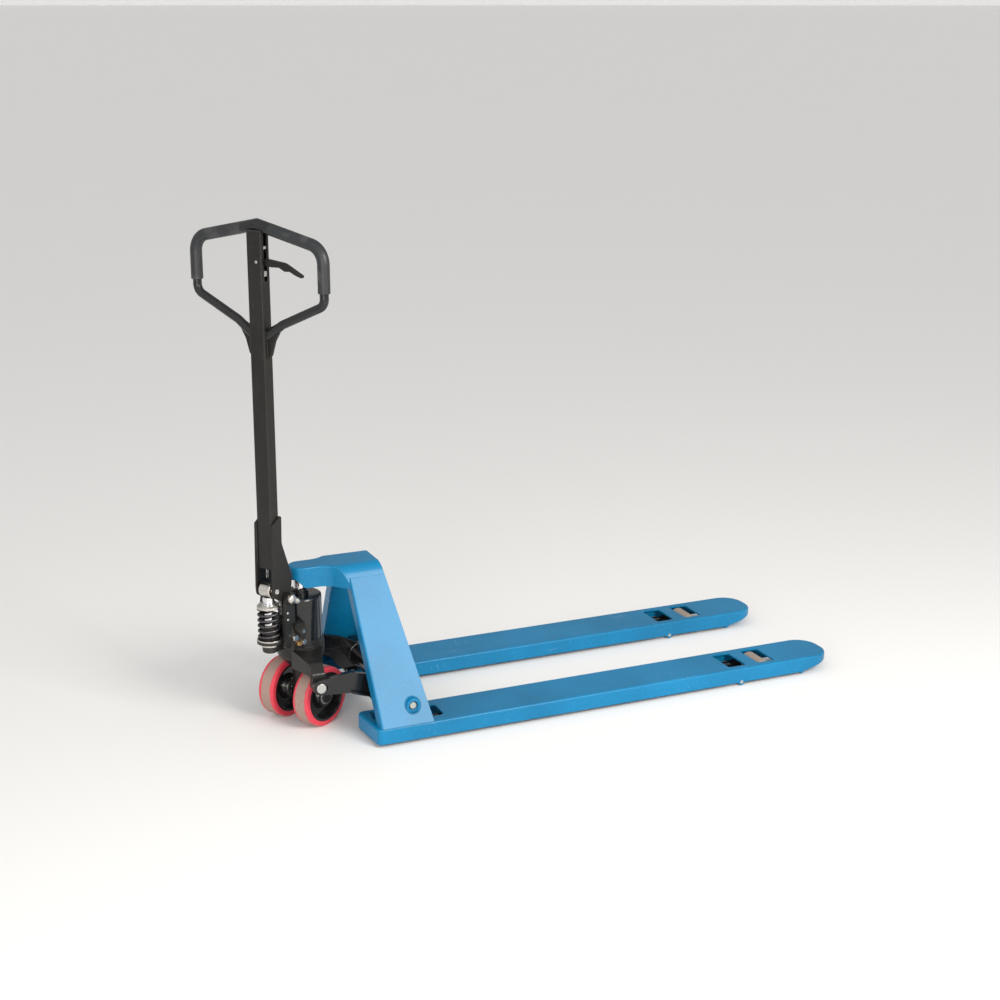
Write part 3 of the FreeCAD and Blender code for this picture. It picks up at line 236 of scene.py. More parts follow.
# ---- finishes ------------------------------------------------------------------------
@dataclass(frozen=True)
class Paint:
    """Sprayed paint on steel, with orange peel, rubbed edges and fine scratches."""

    name: str
    colour: Colour
    rubbed: Colour
    roughness: float = 0.32
    coat: float = 0.35
    peel: float = 0.00012
    mottle: float = 0.08
    scratches: float = 0.35
    edge_radius: float = 0.0012
    grain_scale: float = 420.0
    specular: float = 0.3
    scratch_low: float = 0.655
    scratch_high: float = 0.70

    def make(self) -> bpy.types.Material:
        """Build the material."""
        bench = new_bench(self.name)
        cloud = bench.noise(4.0, 4.0)
        fine = bench.noise(120.0, 3.0, shift=3.0)
        darker = tuple(c * (1.0 - 2.2 * self.mottle) for c in self.colour)
        lighter = tuple(min(1.0, c * (1.0 + 1.6 * self.mottle) + 0.01 * self.mottle) for c in self.colour)
        colour = bench.mix(bench.ease(cloud * 0.7 + fine * 0.3, 0.32, 0.68), darker, lighter)
        rounded = bench.soft_edges(self.edge_radius)
        edge = bench.ease(bench.edge_mask(rounded), 0.03, 0.22) * bench.ease(bench.noise(26.0, 4.0),
            0.46, 0.66)
        long_marks = bench.ease(bench.noise(9.0, 5.0, (1.0, 26.0, 14.0)), self.scratch_low,
            self.scratch_high)
        cross_marks = bench.ease(bench.noise(8.0, 5.0, (22.0, 1.4, 9.0), 5.0), self.scratch_low,
            self.scratch_high)
        patches = bench.ease(bench.noise(5.0, 2.0, shift=8.0), 0.5, 0.66)
        marks = (long_marks + cross_marks) * patches * self.scratches
        colour = bench.mix(marks + edge * 0.55, colour, self.rubbed)
        relief = bench.bump(bench.noise(self.grain_scale, 1.0), self.peel, 0.5, rounded)
        rough = fine * 0.1 + marks * 0.25 + (self.roughness - 0.05)
        sockets = {"Base Color": colour, "Roughness": rough, "Normal": relief}
        constants = {"Coat Weight": self.coat, "Coat Roughness": 0.12, "Specular IOR Level": self.specular}
        return bench.close(sockets | constants)


@dataclass(frozen=True)
class Casting:
    """Painted cast iron: sandy relief under black paint, with oily and dusty patches."""

    name: str
    colour: Colour
    dust: Colour = (0.10, 0.085, 0.065)
    roughness: float = 0.36
    sand: float = 0.0005
    oil: float = 0.4
    dust_amount: float = 0.18
    specular: float = 0.3
    edge_radius: float = 0.0016

    def make(self) -> bpy.types.Material:
        """Build the material."""
        bench = new_bench(self.name)
        rounded = bench.soft_edges(self.edge_radius)
        sand = bench.noise(260.0, 4.0)
        lumps = bench.noise(38.0, 3.0, shift=2.0)
        dusty = bench.ease(bench.noise(17.0, 5.0, shift=7.0), 0.47, 0.74) * self.dust_amount
        edge = bench.ease(bench.edge_mask(rounded), 0.04, 0.25) * bench.ease(lumps, 0.42, 0.6)
        lifted = tuple(c * 1.7 + 0.004 for c in self.colour)
        colour = bench.mix(lumps * 0.8, self.colour, lifted)
        colour = bench.mix(dusty, colour, self.dust)
        colour = bench.mix(edge * 0.35, colour, (0.16, 0.15, 0.14))
        oily = bench.ease(bench.noise(9.0, 2.0, shift=4.0), 0.44, 0.6) * self.oil
        rough = dusty * 0.8 + sand * 0.12 + (self.roughness + 0.04) - oily * 0.22
        relief = bench.bump(sand * 0.6 + lumps * 0.9, self.sand, 0.55, rounded)
        sockets = {"Base Color": colour, "Roughness": rough, "Normal": relief}
        return bench.close(sockets | {"Coat Weight": 0.12, "Specular IOR Level": self.specular})


@dataclass(frozen=True)
class BareMetal:
    """Bright metal with turning marks and a little stain."""

    name: str
    colour: Colour
    roughness: float
    stain: Colour = (0.16, 0.13, 0.10)
    stain_amount: float = 0.14
    marks: Colour = (40.0, 40.0, 400.0)
    marks_depth: float = 0.00002
    edge_radius: float = 0.0005

    def make(self) -> bpy.types.Material:
        """Build the material."""
        bench = new_bench(self.name)
        rounded = bench.soft_edges(self.edge_radius)
        turning = bench.noise(4.0, 3.0, self.marks)
        spots = bench.ease(bench.noise(70.0, 4.0, shift=6.0), 0.5, 0.72) * self.stain_amount
        tone = tuple(c * 0.78 for c in self.colour)
        colour = bench.mix(spots, bench.mix(turning, tone, self.colour), self.stain)
        rough = turning * 0.12 + spots * 0.35 + (self.roughness - 0.05)
        relief = bench.bump(turning, self.marks_depth, 0.4, rounded)
        sockets = {"Base Color": colour, "Roughness": rough, "Normal": relief}
        return bench.close(sockets | {"Metallic": 1.0 - spots * 0.6})


@dataclass(frozen=True)
class Moulded:
    """Moulded rubber or plastic with a soft grain."""

    name: str
    colour: Colour
    roughness: float = 0.5
    grain: float = 0.00018
    scuff: Colour = (0.09, 0.09, 0.095)

    def make(self) -> bpy.types.Material:
        """Build the material."""
        bench = new_bench(self.name)
        rounded = bench.soft_edges(0.001)
        grain = bench.noise(700.0, 2.0)
        rubbed = bench.ease(bench.noise(24.0, 4.0), 0.48, 0.72) * 0.4
        colour = bench.mix(rubbed, self.colour, self.scuff)
        rough = grain * 0.1 + rubbed * -0.15 + self.roughness
        relief = bench.bump(grain, self.grain, 0.5, rounded)
        return bench.close({"Base Color": colour, "Roughness": rough, "Normal": relief})


@dataclass(frozen=True)
class Tread:
    """Polyurethane on a wheel: clean at the edges, worn and dusty where it rolls."""

    name: str
    axis: tuple[float, float, float]
    centre: tuple[float, float, float]
    clean: Colour
    worn: Colour
    worn_half: float
    radius: float
    roughness: float = 0.42

    def make(self) -> bpy.types.Material:
        """Build the material."""
        bench = new_bench(self.name)
        axis = Vector(self.axis)
        centre = Vector(self.centre)
        across = abs(bench.along(axis, centre))
        level = bench.along(Vector((0, 0, 1)), centre)
        ahead = bench.along(axis.cross(Vector((0, 0, 1))), centre)
        reach = (level * level + ahead * ahead) ** 0.5
        ragged = bench.noise(60.0, 4.0) * 0.008 - 0.004
        strip = 1.0 - bench.ease(across + ragged, self.worn_half - 0.0012, self.worn_half + 0.0012)
        rolled = strip * bench.ease(reach, self.radius - 0.0022, self.radius - 0.0012)
        grit = bench.noise(300.0, 4.0)
        specks = bench.ease(bench.noise(150.0, 4.0, shift=9.0), 0.56, 0.68) * 0.4
        clean = bench.mix(grit * 0.5, self.clean, tuple(c * 0.72 for c in self.clean))
        clean = bench.mix(specks * 0.4, clean, self.worn)
        worn = bench.mix(grit * 0.7 + specks, self.worn, tuple(c * 0.6 for c in self.worn))
        rough = rolled * 0.35 + grit * 0.1 + self.roughness - 0.05
        relief = bench.bump(grit + specks * -1.0, 0.0003, 0.6, bench.soft_edges(0.0015))
        return bench.close({"Base Color": bench.mix(rolled, clean, worn), "Roughness": rough,
            "Normal": relief})


@dataclass(frozen=True)
class StudioFloor:
    """Pale matt floor with the faintest cloud."""

    name: str = "studio_floor"
    colour: Colour = (0.86, 0.86, 0.86)

    def make(self) -> bpy.types.Material:
        """Build the material."""
        bench = new_bench(self.name)
        colour = bench.mix(bench.noise(0.8), tuple(c * 0.985 for c in self.colour), self.colour)
        return bench.close({"Base Color": colour, "Roughness": 0.75})


class Slot(Enum):
    """The record's material slots, passed along with new pieces."""

    FRAME = "frame_blue"
    LINKAGE = "linkage_black"
    PUMP = "pump_black"
    HANDLE = "handle_black"
    GRIP = "grip_black"
    STEEL = "bright_steel"
    BEARING = "bearing_steel"
    CHROME = "chrome"
    BRASS = "brass"


@dataclass
class Finishes:
    """Every material of the object, made once."""

    blue: bpy.types.Material = field(init=False)

    def __post_init__(self) -> None:
        """Make the materials that don't depend on a place."""
        chalk = (0.30, 0.50, 0.68)
        self.blue = Paint("blue_paint", (0.001, 0.172, 0.362), chalk, 0.38, 0.08).make()
        self.weld_blue = Paint("blue_weld", (0.002, 0.168, 0.348), chalk, 0.42, 0.08, 0.0004, 0.15).make()
        grey = (0.15, 0.15, 0.16)
        self.gloss = Paint("gloss_black_paint", (0.006, 0.006, 0.007), grey, 0.18, 0.45, 0.0002,
            0.2, 0.15).make()
        self.satin = Paint("satin_black_paint", (0.012, 0.0105, 0.009), grey, 0.44, 0.05, 0.0001,
            0.2, 0.2).make()
        self.bar = Paint("bar_black_paint", (0.008, 0.009, 0.010), grey, 0.28, 0.3, 0.00008, 0.2,
            0.2).make()
        self.cast = Casting("pump_casting", (0.008, 0.0076, 0.0072)).make()
        self.seat_cast = Casting("seat_casting", (0.008, 0.0075, 0.007), roughness=0.32,
            dust_amount=0.12).make()
        self.steel = BareMetal("zinc_plated_steel", (0.66, 0.64, 0.60), 0.24).make()
        self.pin = BareMetal("ground_steel", (0.60, 0.60, 0.58), 0.3, stain_amount=0.25).make()
        self.chrome = BareMetal("hard_chrome", (0.84, 0.84, 0.86), 0.09, stain_amount=0.04).make()
        self.spring = BareMetal("dark_spring_steel", (0.10, 0.10, 0.11), 0.3, stain_amount=0.5).make()
        self.brass = BareMetal("turned_brass", (0.72, 0.42, 0.16), 0.28, stain_amount=0.35).make()
        self.bronze = BareMetal("bush_bronze", (0.55, 0.36, 0.18), 0.35).make()
        self.grip = Moulded("grip_rubber", (0.016, 0.018, 0.021), 0.38).make()


# ---- mesh work --------------------------------------------------------------------------
class Stock:
    """Points and faces of one piece while it is being made, in metres in the row frame."""

    def __init__(self) -> None:
        """Start with nothing."""
        self.points: list[Vector] = []
        self.faces: list[tuple[int, ...]] = []

    def loft(self, rings: list[list[Vector]], looped: bool = False) -> "Stock":
        """Skin a row of rings that have the same number of points.

        Args:
            rings: closed rings, in order.
            looped: whether the last ring joins the first; if not, both ends are capped.

        Returns:
            This stock.
        """
        start = len(self.points)
        size = len(rings[0])
        for ring in rings:
            self.points.extend(ring)
        count = len(rings)
        for i in range(count if looped else count - 1):
            low = start + i * size
            high = start + (i + 1) % count * size
            for j in range(size):
                k = (j + 1) % size
                self.faces.append((low + j, low + k, high + k, high + j))
        if not looped:
            self.faces.append(tuple(start + j for j in reversed(range(size))))
            self.faces.append(tuple(start + (count - 1) * size + j for j in range(size)))
        return self

    def turned(self, base: Vector, axis: Vector, profile: list[tuple[float, float]],
               looped: bool = False, steps: int = 40) -> "Stock":
        """Turn a profile about an axis.

        Args:
            base: a point on the axis.
            axis: the axis.
            profile: pairs of radius and distance along the axis.
            looped: whether the profile closes on itself, as a ring's does.
            steps: how many sides the turned piece has.

        Returns:
            This stock.
        """
        axis = axis.normalized()
        out = axis.orthogonal().normalized()
        side = axis.cross(out)
        turns = [math.tau * i / steps for i in range(steps)]
        spokes = [out * math.cos(a) + side * math.sin(a) for a in turns]
        return self.loft([[base + axis * d + spoke * r for spoke in spokes] for r, d in profile], looped)

    def ring(self, base: Vector, axis: Vector, outer: float, inner: float, height: float,
             chamfer: float = 0.0004, steps: int = 40) -> "Stock":
        """A flat ring with its outer corners broken."""
        c = chamfer
        profile = [(inner, 0.0), (outer - c, 0.0), (outer, c), (outer, height - c), (outer - c,
            height), (inner, height)]
        return self.turned(base, axis, profile, True, steps)

    def hexagon(self, base: Vector, axis: Vector, radius: float, height: float) -> "Stock":
        """A hexagon head with a chamfered top and a washer face."""
        self.turned(base, axis, [(radius * 0.98, 0.0), (radius * 0.98, height * 0.12)], False, 24)
        top = [(radius, height * 0.1), (radius, height * 0.8), (radius * 0.84, height),
            (radius * 0.5, height * 1.02)]
        return self.turned(base, axis, top, False, 6)

    def tube(self, path: list[Vector], radii: list[float] | float, looped: bool = False,
            steps: int = 12) -> "Stock":
        """Sweep a round section along a path.

        Args:
            path: the centre line's points.
            radii: one radius, or one for each point.
            looped: whether the path closes on itself.
            steps: how many sides the section has.

        Returns:
            This stock.
        """
        count = len(path)
        widths = radii if isinstance(radii, list) else [radii] * count
        rings = []
        across: Vector | None = None
        for i, point in enumerate(path):
            before = path[i - 1] if looped or i else path[0]
            after = path[(i + 1) % count] if looped or i < count - 1 else path[-1]
            ahead = (after - before).normalized()
            across = ahead.orthogonal() if across is None else across - ahead * across.dot(ahead)
            across.normalize()
            up = ahead.cross(across)
            turns = [math.tau * j / steps for j in range(steps)]
            rings.append([point + (across * math.cos(a) + up * math.sin(a)) * widths[i] for a in turns])
        return self.loft(rings, looped)

    def bead(self, corners: list[Vector], radius: float, pitch: float = 0.0032,
            looped: bool = False) -> "Stock":
        """Lay a rippled weld bead along straight runs.

        Args:
            corners: the ends of the runs.
            radius: half the bead's width.
            pitch: the distance between two ripples.
            looped: whether the bead closes on itself.

        Returns:
            This stock.
        """
        ends = corners + [corners[0]] if looped else corners
        path: list[Vector] = []
        for start, end in zip(ends, ends[1:]):
            steps = max(1, round((end - start).length / (pitch / 4)))
            path += [start.lerp(end, i / steps) for i in range(steps)]
        if not looped:
            path.append(ends[-1])
        ripples = []
        for i in range(len(path)):
            swell = 0.2 * abs(math.cos(math.pi * i / 4))
            ripples.append(radius * (0.82 + swell + 0.05 * math.sin(i * 0.37)))
        if not looped:
            ripples[0] = ripples[-1] = radius * 0.3
        return self.tube(path, ripples, looped, 8)

    def circle_bead(self, centre: Vector, axis: Vector, ring_radius: float, radius: float) -> "Stock":
        """Lay a weld bead round a circle."""
        axis = axis.normalized()
        out = axis.orthogonal().normalized()
        side = axis.cross(out)
        turns = [math.tau * i / 24 for i in range(24)]
        corners = [centre + (out * math.cos(a) + side * math.sin(a)) * ring_radius for a in turns]
        return self.bead(corners, radius, looped=True)

    def plate(self, outline: list[Vector], push: Vector) -> "Stock":
        """Thicken a flat outline."""
        return self.loft([outline, [p + push for p in outline]])

    def piece(self, name: str, finish: bpy.types.Material, body: str, slot: Slot,
            bevel: float = 0.0) -> bpy.types.Object:
        """Turn the stock into an object on a body.

        Args:
            name: the piece's name.
            finish: its material.
            body: the body that it rides on.
            slot: the record's slot that its finish belongs to; not used.
            bevel: how wide its sharp edges are broken, in metres.

        Returns:
            The object.
        """
        mesh = bpy.data.meshes.new(name)
        mesh.from_pydata([tuple(p) for p in self.points], [], self.faces)
        mesh.validate()
        made = bpy.data.objects.new(name, mesh)
        bpy.context.scene.collection.objects.link(made)
        mesh.materials.append(finish)
        fix_normals(mesh)
        mesh.polygons.foreach_set("use_smooth", [True] * len(mesh.polygons))
        mesh.set_sharp_from_angle(angle=SHARP_ANGLE)
        if bevel > 0:
            rounding = made.modifiers.new("rounded", "BEVEL")
            rounding.width = bevel
            rounding.segments = 2
            rounding.limit_method = "ANGLE"
            rounding.angle_limit = SHARP_ANGLE
        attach(made, body)
        LOG.info("made %s on %s", name, body)
        return made


def fix_normals(mesh: bpy.types.Mesh) -> None:
    """Turn every face outwards."""
    import bmesh

    work = bmesh.new()
    work.from_mesh(mesh)
    bmesh.ops.recalc_face_normals(work, faces=work.faces)
    work.to_mesh(mesh)
    work.free()


def dress(finish: bpy.types.Material, *names: str) -> None:
    """Give a finish to carried-over nodes."""
    for name in names:
        mesh = frame["nodes"][name].data
        mesh.materials.clear()
        mesh.materials.append(finish)
        LOG.info("dressed %s", name)


def both(stem: str) -> list[str]:
    """The names of a left and right pair of nodes."""
    return [f"{stem}_{side}" for side, _ in SIDES]


def joint(name: str) -> dict:
    """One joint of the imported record."""
    return next(j for j in frame["joints"] if j["name"] == name)


def middle(node: str) -> Vector:
    """The middle of a node's box."""
    low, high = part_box(node)
    return (low + high) / 2


@dataclass
class Unit:
    """The steering unit's own directions: u ahead, v to its left, z up, from the king axis."""

    king: Vector = field(init=False)
    ahead: Vector = field(init=False)
    left: Vector = field(init=False)

    def __post_init__(self) -> None:
        """Read them from the joints."""
        x, y, _ = joint("steer")["pos_m"]
        self.king = Vector((x, y, 0))
        self.left = Vector(joint("wheel_left_spin")["axis"]).normalized()
        self.ahead = self.left.cross(Vector((0, 0, 1)))

    def at(self, u: float, v: float, z: float) -> Vector:
        """A point given in the unit's directions."""
        return self.king + self.ahead * u + self.left * v + Vector((0, 0, z))

    def u_of(self, name: str) -> float:
        """How far ahead of the king axis a joint is."""
        return (Vector(joint(name)["pos_m"]) - self.king).dot(self.ahead)

    def z_of(self, name: str) -> float:
        """How high a joint is."""
        return joint(name)["pos_m"][2]


UP = Vector((0, 0, 1))
ACROSS = Vector((0, 1, 0))


# ---- sub-assemblies -----------------------------------------------------------------------
@dataclass
class Chassis:
    """Forks, legs and head: one welded, painted frame."""

    finishes: Finishes
    seam: float = 0.0032
    boss_radius: float = 0.0195
    leg_thickness: float = 0.007
    leg_lean: float = math.radians(29.5)

    def dress(self) -> None:
        """Paint the frame and leave its pins bright."""
        f = self.finishes
        dress(f.blue, "head_plate", "head_stiffener", "ram_socket", "shaft_bosses", "entry_skids")
        dress(f.blue, *both("leg"), *both("fork"))
        dress(f.pin, "rocker_shaft", "frame_pivot_pins")

    def heel_welds(self) -> None:
        """The seam where each leg stands on its fork."""
        for side, s in SIDES:
            low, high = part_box(f"leg_{side}")
            outer = max(abs(low.y), abs(high.y)) * s
            z = low.z + 0.0008
            drop = self.leg_thickness * s
            x0, x1 = low.x + 0.0135, high.x - 0.0005
            inner = outer - s * 0.036
            front = [Vector((x1, outer - drop, z)), Vector((x1, inner, z))]
            rear = [Vector((x0 - 0.0005, outer - drop, z)), Vector((x0 - 0.0005, inner, z))]
            outside = [Vector((x0 + 0.004, outer - s * 0.0026, z)), Vector((x1 - 0.004,
                outer - s * 0.0026, z))]
            stock = Stock().bead(front, self.seam).bead(rear, self.seam).bead(outside, self.seam * 0.6)
            stock.piece(f"heel_weld_{side}", self.finishes.weld_blue, "chassis", Slot.FRAME)

    def boss_welds(self) -> None:
        """The seam round each end of the rocker shaft's boss."""
        low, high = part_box("shaft_bosses")
        centre_x = (low.x + high.x) / 2
        centre_z = (low.z + high.z) / 2
        for side, s in SIDES:
            reach = Vector((0, s * math.cos(self.leg_lean), math.sin(self.leg_lean)))
            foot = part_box(f"leg_{side}")
            outer = max(abs(foot[0].y), abs(foot[1].y)) - math.tan(self.leg_lean) * (centre_z - foot[0].z)
            rim = []
            for i in range(28):
                a = math.tau * i / 28
                z = centre_z + self.boss_radius * math.sin(a)
                y = s * (outer - math.tan(self.leg_lean) * (z - centre_z))
                rim.append(Vector((centre_x + self.boss_radius * math.cos(a), y, z)) + reach * 0.0004)
            stock = Stock().bead(rim, self.seam * 0.8, looped=True)
            stock.piece(f"boss_weld_{side}", self.finishes.weld_blue, "chassis", Slot.FRAME)

    def build(self) -> None:
        """Dress and detail the frame."""
        self.dress()
        self.heel_welds()
        self.boss_welds()


@dataclass
class Linkage:
    """Rocker, push rods and the load rollers' frames."""

    finishes: Finishes
    tube_radius: float = 0.032
    arm_inner: float = 0.150
    arm_outer: float = 0.162
    seam: float = 0.003

    def dress(self) -> None:
        """Gloss black levers, bright pins and tan rollers."""
        f = self.finishes
        dress(f.gloss, "rocker", *both("push_rod"), *both("roller_frame"))
        dress(f.bronze, "rocker_bushes")
        dress(f.pin, "crank_pins", "seat_pins", *both("load_roller_axle"), *both("roller_bearings"))
        for side in ("left", "right"):
            place = joint(f"load_roller_{side}_spin")
            low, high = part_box(f"load_roller_{side}")
            radius = (high.z - low.z) / 2
            worn_half = (high.y - low.y) / 2 + 0.01
            tan = Tread(f"roller_tan_{side}", tuple(place["axis"]), tuple(place["pos_m"]), (0.36,
                0.28, 0.22),
                        (0.34, 0.28, 0.24), worn_half, radius)
            dress(tan.make(), f"load_roller_{side}")

    def arm_welds(self) -> None:
        """Seams between the arms and the cross tube."""
        centre = Vector(joint("rocker_turn")["pos_m"])
        stock = Stock()
        for _, s in SIDES:
            for y in (self.arm_inner - 0.001, self.arm_outer + 0.001):
                stock.circle_bead(centre + ACROSS * s * y, ACROSS, self.tube_radius + 0.0006, self.seam)
        stock.piece("arm_welds", self.finishes.gloss, "rocker", Slot.LINKAGE)

    def pin_rings(self) -> None:
        """Retaining rings and washers on the ends of the rollers' axles."""
        for side, s in SIDES:
            low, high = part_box(f"load_roller_axle_{side}")
            centre = middle(f"load_roller_axle_{side}")
            stock = Stock()
            for way, y in ((1.0, high.y), (-1.0, low.y)):
                base = Vector((centre.x, y, centre.z)) - ACROSS * way * 0.001
                stock.ring(base, ACROSS * way, 0.0115, 0.0078, 0.0022)
            stock.piece(f"axle_rings_{side}", self.finishes.steel, f"roller_frame_{side}", Slot.STEEL)

    def build(self) -> None:
        """Dress and detail the linkage."""
        self.dress()
        self.arm_welds()
        self.pin_rings()


@dataclass
class Pump:
    """Pump casting, tank, piston and the seat that they stand in."""

    finishes: Finishes
    unit: Unit
    pin_face: float = 0.048
    column_face: float = 0.044
    screw_u: float = -0.096
    screw_heights: tuple[float, float] = (0.331, 0.313)
    tank_radius: float = 0.057
    lever_face: float = 0.0545
    spring_wire: float = 0.0034
    spring_turns: float = 5.5
    spring_steps: int = 28

    def dress(self) -> None:
        """Cast black body, glossy tank, chrome ram and piston."""
        f = self.finishes
        dress(f.cast, "pump_body", "release_lever")
        dress(f.gloss, "reservoir", "gland_nut", "lift_cylinder", "wheel_axle")
        dress(f.seat_cast, "seat_bracket")
        dress(f.chrome, "ram", "plunger")
        dress(f.steel, "spring_cap", "steel_plugs", "handle_pivot_pin", "pivot_clips",
            "release_pivot", "thrust_bearing")
        dress(f.spring, "pump_spring")
        dress(f.brass, "brass_plug")

    def pivot_head(self) -> None:
        """Domed head of the handle's pivot pin and the keeper that locks it."""
        unit = self.unit
        u, z = unit.u_of("handle_tilt"), unit.z_of("handle_tilt")
        right = -unit.left
        base = unit.at(u, -self.pin_face, z)
        dome = [(0.0125, 0.0), (0.0125, 0.004), (0.0112, 0.0064), (0.0084, 0.0082), (0.0040,
            0.0092), (0.0012, 0.0094)]
        stock = Stock().turned(base, right, dome)
        turn = math.atan2(-0.012, 0.023)
        spokes = [(math.cos(turn) * c - math.sin(turn) * d, math.sin(turn) * c + math.cos(turn) * d)
                  for c, d in ((0.0, 0.009), (0.024, 0.007), (0.029, 0.004), (0.029, -0.004),
                      (0.024, -0.007), (0.0, -0.009))]
        stock.plate([unit.at(u + a, -self.pin_face + 0.0005, z + b) for a, b in spokes], right * 0.0045)
        stock.hexagon(unit.at(u + 0.0205, -self.pin_face - 0.004, z - 0.0105), right, 0.0052, 0.0045)
        stock.piece("pivot_keeper", self.finishes.steel, "pump", Slot.STEEL, 0.0005)

    def column_screws(self) -> None:
        """Small screws in the ear's near face."""
        stock = Stock()
        for z in self.screw_heights:
            base = self.unit.at(self.screw_u, -self.column_face, z)
            stock.turned(base, -self.unit.left, [(0.0036, -0.001), (0.0036, 0.0014), (0.0026,
                0.0024), (0.0008, 0.0027)], False, 20)
        stock.piece("column_screws", self.finishes.steel, "pump", Slot.STEEL)

    def tank_seams(self) -> None:
        """Weld round the tank's top edge and at its foot."""
        low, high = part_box("reservoir")
        king = self.unit.king
        stock = Stock()
        stock.circle_bead(king + UP * (high.z - 0.0022), UP, self.tank_radius - 0.0016, 0.0014)
        stock.circle_bead(king + UP * (low.z + 0.001), UP, self.tank_radius + 0.0004, 0.0022)
        stock.piece("tank_seams", self.finishes.gloss, "pump", Slot.PUMP)

    def filler(self) -> None:
        """Filler plug in the tank's top."""
        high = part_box("reservoir")[1]
        stock = Stock().ring(self.unit.at(0.026, 0.030, high.z - 0.0004), UP, 0.0095, 0.004, 0.0022)
        stock.hexagon(self.unit.at(0.026, 0.030, high.z + 0.0016), UP, 0.0070, 0.0060)
        stock.piece("filler_plug", self.finishes.steel, "pump", Slot.STEEL)

    def return_spring(self) -> None:
        """Coiled return spring in place of the imported one."""
        low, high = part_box("pump_spring")
        wire, turns = self.spring_wire, self.spring_turns
        centre = (low + high) / 2
        radius = (high.y - low.y) / 2 - wire
        bottom, rise = low.z + wire, high.z - low.z - 2 * wire
        steps = int(turns * self.spring_steps)
        path = []
        for i in range(steps + 1):
            a = math.tau * i / self.spring_steps
            x, y = centre.x + radius * math.cos(a), centre.y + radius * math.sin(a)
            path.append(Vector((x, y, bottom + rise * i / steps)))
        coil = Stock().tube(path, wire, False, 12).piece("return_spring", self.finishes.spring,
            "pump", Slot.PUMP)
        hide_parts("pump_spring")
        height = high.z - low.z
        stroke = joint("plunger_press")["range_m"][1]
        (height - stroke) / height
        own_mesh(coil)

    def piston_rings(self) -> None:
        """Collars on the piston's cap and the bright ring on the spring's seat."""
        unit = self.unit
        base_u = unit.u_of("pressure_roller_spin")
        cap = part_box("spring_cap")[1].z
        stock = Stock()
        stock.ring(unit.at(base_u, 0, cap), UP, 0.0215, 0.0152, 0.0034, 0.0008)
        stock.ring(unit.at(base_u, 0, cap + 0.0036), UP, 0.0185, 0.0152, 0.0024, 0.0008)
        stock.piece("cap_collars", self.finishes.chrome, "plunger", Slot.CHROME)
        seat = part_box("pump_spring")[0].z
        collar = Stock().ring(unit.at(base_u, 0, seat - 0.0012), UP, 0.0325, 0.0302, 0.0042, 0.0006)
        collar.ring(unit.at(base_u, 0, seat - 0.0165), UP, 0.0235, 0.0203, 0.006, 0.001)
        collar.piece("seat_collars", self.finishes.steel, "pump", Slot.STEEL)

    def lever_ribs(self) -> None:
        """Ribs cast on the release lever."""
        unit = self.unit
        u, z = unit.u_of("release_lever_turn"), unit.z_of("release_lever_turn")
        v = -self.lever_face - 0.0004
        stock = Stock()
        for drop in (0.0, 0.008, 0.015):
            path = [(-0.026 + drop * 0.35, 0.020 - drop), (-0.010, 0.0195 - drop), (0.003,
                0.013 - drop * 0.9)]
            stock.tube([unit.at(u + a, v, z + b) for a, b in path], [0.0014, 0.002, 0.0012], False, 8)
        stock.piece("release_lever_ribs", self.finishes.cast, "release_lever", Slot.PUMP)

    def build(self) -> None:
        """Dress and detail the pump."""
        self.dress()
        self.pivot_head()
        self.column_screws()
        self.tank_seams()
        self.filler()
        self.return_spring()
        self.piston_rings()
        self.lever_ribs()


@dataclass
class SteeringWheels:
    """Two red-tyred wheels on one axle."""

    finishes: Finishes
    unit: Unit
    worn_half: float = 0.0155
    red: Colour = (0.70, 0.045, 0.075)
    worn: Colour = (0.40, 0.27, 0.23)

    def build(self) -> None:
        """Dress the wheels and add their bearing shields."""
        f = self.finishes
        dress(f.gloss, *both("wheel_rim"))
        dress(f.steel, *both("wheel_bearings"), "axle_spacers")
        for side, s in SIDES:
            hub = Vector(joint(f"wheel_{side}_spin")["pos_m"])
            low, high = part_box(f"tyre_{side}")
            radius = (high.z - low.z) / 2
            tread = Tread(f"tyre_red_{side}", tuple(self.unit.left), tuple(hub), self.red,
                self.worn, self.worn_half, radius)
            dress(tread.make(), f"tyre_{side}")
            stock = Stock()
            for way in (1.0, -1.0):
                out = self.unit.left * way
                stock.ring(hub + out * 0.0228, out, 0.0196, 0.0112, 0.0009, 0.0003)
                stock.ring(hub + out * 0.0226, out, 0.0212, 0.0199, 0.0013, 0.0003)
            stock.piece(f"bearing_shields_{side}", f.steel, f"wheel_{side}", Slot.BEARING)


